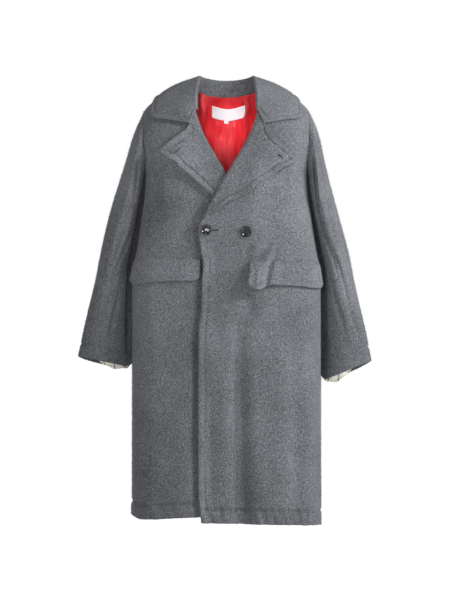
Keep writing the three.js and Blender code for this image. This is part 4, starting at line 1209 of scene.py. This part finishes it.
def nap(name, piece):
    """Fibre ends on a piece: on its outer half, more thickly along its rim."""
    polygons = piece.data.polygons
    total = len(polygons)
    corners = np.empty(total * 4, int)
    polygons.foreach_get("vertices", corners)
    spots = np.empty(len(piece.data.vertices) * 3)
    piece.data.vertices.foreach_get("co", spots)
    quads = spots.reshape(-1, 3)[corners.reshape(-1, 4)] / MM
    normal = np.cross(quads[:, 2] - quads[:, 0], quads[:, 3] - quads[:, 1])
    size = np.linalg.norm(normal, axis=1)
    normal /= np.maximum(size, 1e-9)[:, None]
    half = (total - rim_faces[piece.name]) // 2
    weight = size.copy()
    weight[half:2 * half] = 0
    weight[2 * half:] *= EDGE_SHARE
    count = int(NAP_PER_M2 * size[:half].sum() / 2 * 1e-6)
    chosen = rng.choice(total, count, p=weight / weight.sum())
    u, v = rng.random((2, count, 1))
    q = quads[chosen]
    root = (q[:, 0] * (1 - u) + q[:, 1] * u) * (1 - v) + (q[:, 3] * (1 - u) + q[:, 2] * u) * v
    lean = rng.normal(0, NAP_SPREAD, (count, 3)) + np.array([0, 0, -NAP_FALL])
    way = normal[chosen] + lean
    way /= np.linalg.norm(way, axis=1, keepdims=True)
    long = rng.uniform(*NAP_LONG, (count, 1))
    side = np.cross(way, rng.normal(0, 1, (count, 3)))
    side /= np.linalg.norm(side, axis=1, keepdims=True)
    other = np.cross(way, side)
    base = root - way * NAP_ROOT
    w = NAP_WIDTH / 2
    points = np.stack([base + side * w, base - side * w * 0.5 + other * w * 0.87,
                       base - side * w * 0.5 - other * w * 0.87, root + way * long], axis=1).reshape(-1, 3)
    first = np.arange(count)[:, None] * 4
    faces = np.concatenate([first + [0, 2, 1], first + [0, 1, 3], first + [1, 2, 3], first + [2, 0, 3]])
    return mesh_piece(name, points, faces, wool)


for name in [name for name in pieces if name.endswith("_cloth") and "lining" not in name]:
    nap(name.replace("_cloth", "_nap"), pieces[name])

# %% [markdown]
# ## Studio
# The coat is held up by its wearer, so the floor lies where the feet would be. The floor is wide and
# flat, and glows behind the coat. The world is white to the camera and dim as a light, so the coat
# stands before white from every side. A key and a side light come from the right, a fill from the
# left and a weak one from above. A narrow spot lights the lining in the neck.

# %% Floor and world
PIXEL_MM, FRAME_H = 2.55, 600
CAMERA_AWAY = 9.0
CENTRE = (-0.0038, -0.51)
FLOOR_Z, FLOOR_SIDE = -1.45, 60
NEAR_GLOW, FAR_GLOW = 0.06, 0.93
GLOW_FROM, GLOW_TO = 0.4, 1.9
WORLD_LIGHT, WORLD_SEEN = 0.14, 1.0


def floor(name):
    """A wide paper floor that glows behind the coat and hardly at all in front of it."""
    points = [(x, y, FLOOR_Z) for y in (-FLOOR_SIDE, FLOOR_SIDE) for x in (-FLOOR_SIDE, FLOOR_SIDE)]
    mesh = bpy.data.meshes.new(name)
    mesh.from_pydata(points, [], [(0, 1, 3, 2)])
    mesh.shade_smooth()
    piece = scene_object(name, mesh)
    made, tree, shader, _ = toned(name + "_paper", "ShaderNodeTexNoise", {"Scale": 3.0},
                                  [(0.3, "#f6f6f6"), (0.7, "#fafafa")], roughness=0.9)
    where = add(tree, "ShaderNodeTexCoord").outputs["Object"]
    split = add(tree, "ShaderNodeSeparateXYZ", Vector=where)
    glow = add(tree, "ShaderNodeMapRange", {"interpolation_type": "SMOOTHSTEP", "From Min": GLOW_FROM,
               "From Max": GLOW_TO, "To Min": NEAR_GLOW, "To Max": FAR_GLOW}, Value=split.outputs["Y"])
    tree.links.new(glow.outputs["Result"], shader.inputs["Emission Strength"])
    shader.inputs["Emission Color"].default_value = (1, 1, 1, 1)
    mesh.materials.append(made)


floor("studio_floor")

world = bpy.data.worlds.new("studio")
world.use_nodes = True
seen = add(world.node_tree, "ShaderNodeLightPath").outputs["Is Camera Ray"]
strength = add(world.node_tree, "ShaderNodeMapRange", {"To Min": WORLD_LIGHT, "To Max": WORLD_SEEN},
               Value=seen)
background = world.node_tree.nodes["Background"]
background.inputs["Color"].default_value = (1, 1, 1, 1)
world.node_tree.links.new(strength.outputs["Result"], background.inputs["Strength"])
bpy.context.scene.world = world
bpy.context.scene.view_settings.view_transform = "Standard"
print("floor at", FLOOR_Z, "m")

# %% Lights
# Each softbox: where it is, what it points at, its size in metres and its power in watts.
SOFTBOXES = {"key": ((3.9, -2.7, 1.7), (0, 0, -0.5), (0.6, 0.8), 168),
             "fill": ((-2.0, -4.3, 0.1), (0, 0, -0.5), (1.2, 1.6), 58),
             "side": ((4.0, -0.9, 0.1), (0.2, 0, -0.5), (0.5, 1.4), 95),
             "top": ((0.1, -1.7, 2.6), (0, 0, -0.5), (0.9, 0.5), 20)}
GLINT_AWAY, GLINT_SIZE, GLINT_POWER = 5, (0.4, 0.4), 20
NECK_PLACE, NECK_AIM = (0.1, -3.4, 0.7), (-0.002, 0.06, -0.06)
NECK_POWER, NECK_DEGREES, NECK_BLEND, NECK_SOFT = 390, 2.6, 0.7, 0.03


def lamp(name, light, place, aim):
    made = scene_object(name, light)
    made.location = place
    way = np.array(aim) - np.array(place)
    made.rotation_euler = Vector(way).to_track_quat("-Z", "Y").to_euler()


def softbox(name, place, aim, size, power):
    light = bpy.data.lights.new(name, "AREA")
    light.shape = "RECTANGLE"
    light.size, light.size_y = size
    light.energy = power
    lamp(name, light, place, aim)


for name, settings in SOFTBOXES.items():
    softbox(name, *settings)

# A small light where the leaning edge button mirrors it to the camera.
spot, _, _, out = leaning(*BUTTONS["button_right"], TIPS["button_right"])
to_camera = unit(np.array([CENTRE[0], -CAMERA_AWAY, CENTRE[1]]) - spot * MM)
mirrored = 2 * out * np.dot(out, to_camera) - to_camera
print("the button mirrors", np.round(mirrored, 3))
softbox("glint", tuple(spot * MM + GLINT_AWAY * mirrored), tuple(spot * MM), GLINT_SIZE, GLINT_POWER)

neck_light = bpy.data.lights.new("neck", "SPOT")
neck_light.energy, neck_light.spot_size = NECK_POWER, math.radians(NECK_DEGREES)
neck_light.spot_blend, neck_light.shadow_soft_size = NECK_BLEND, NECK_SOFT
lamp("neck", neck_light, NECK_PLACE, NECK_AIM)

# %% Camera
camera_data = bpy.data.cameras.new("camera")
camera_data.sensor_width = 36
camera_data.lens = 36 * CAMERA_AWAY / (PIXEL_MM * FRAME_H * MM)
camera = scene_object("camera", camera_data)
camera.location = (CENTRE[0], -CAMERA_AWAY, CENTRE[1])
camera.rotation_euler = (math.pi / 2, 0, 0)
bpy.context.scene.camera = camera
print("lens:", round(camera_data.lens, 1), "mm")
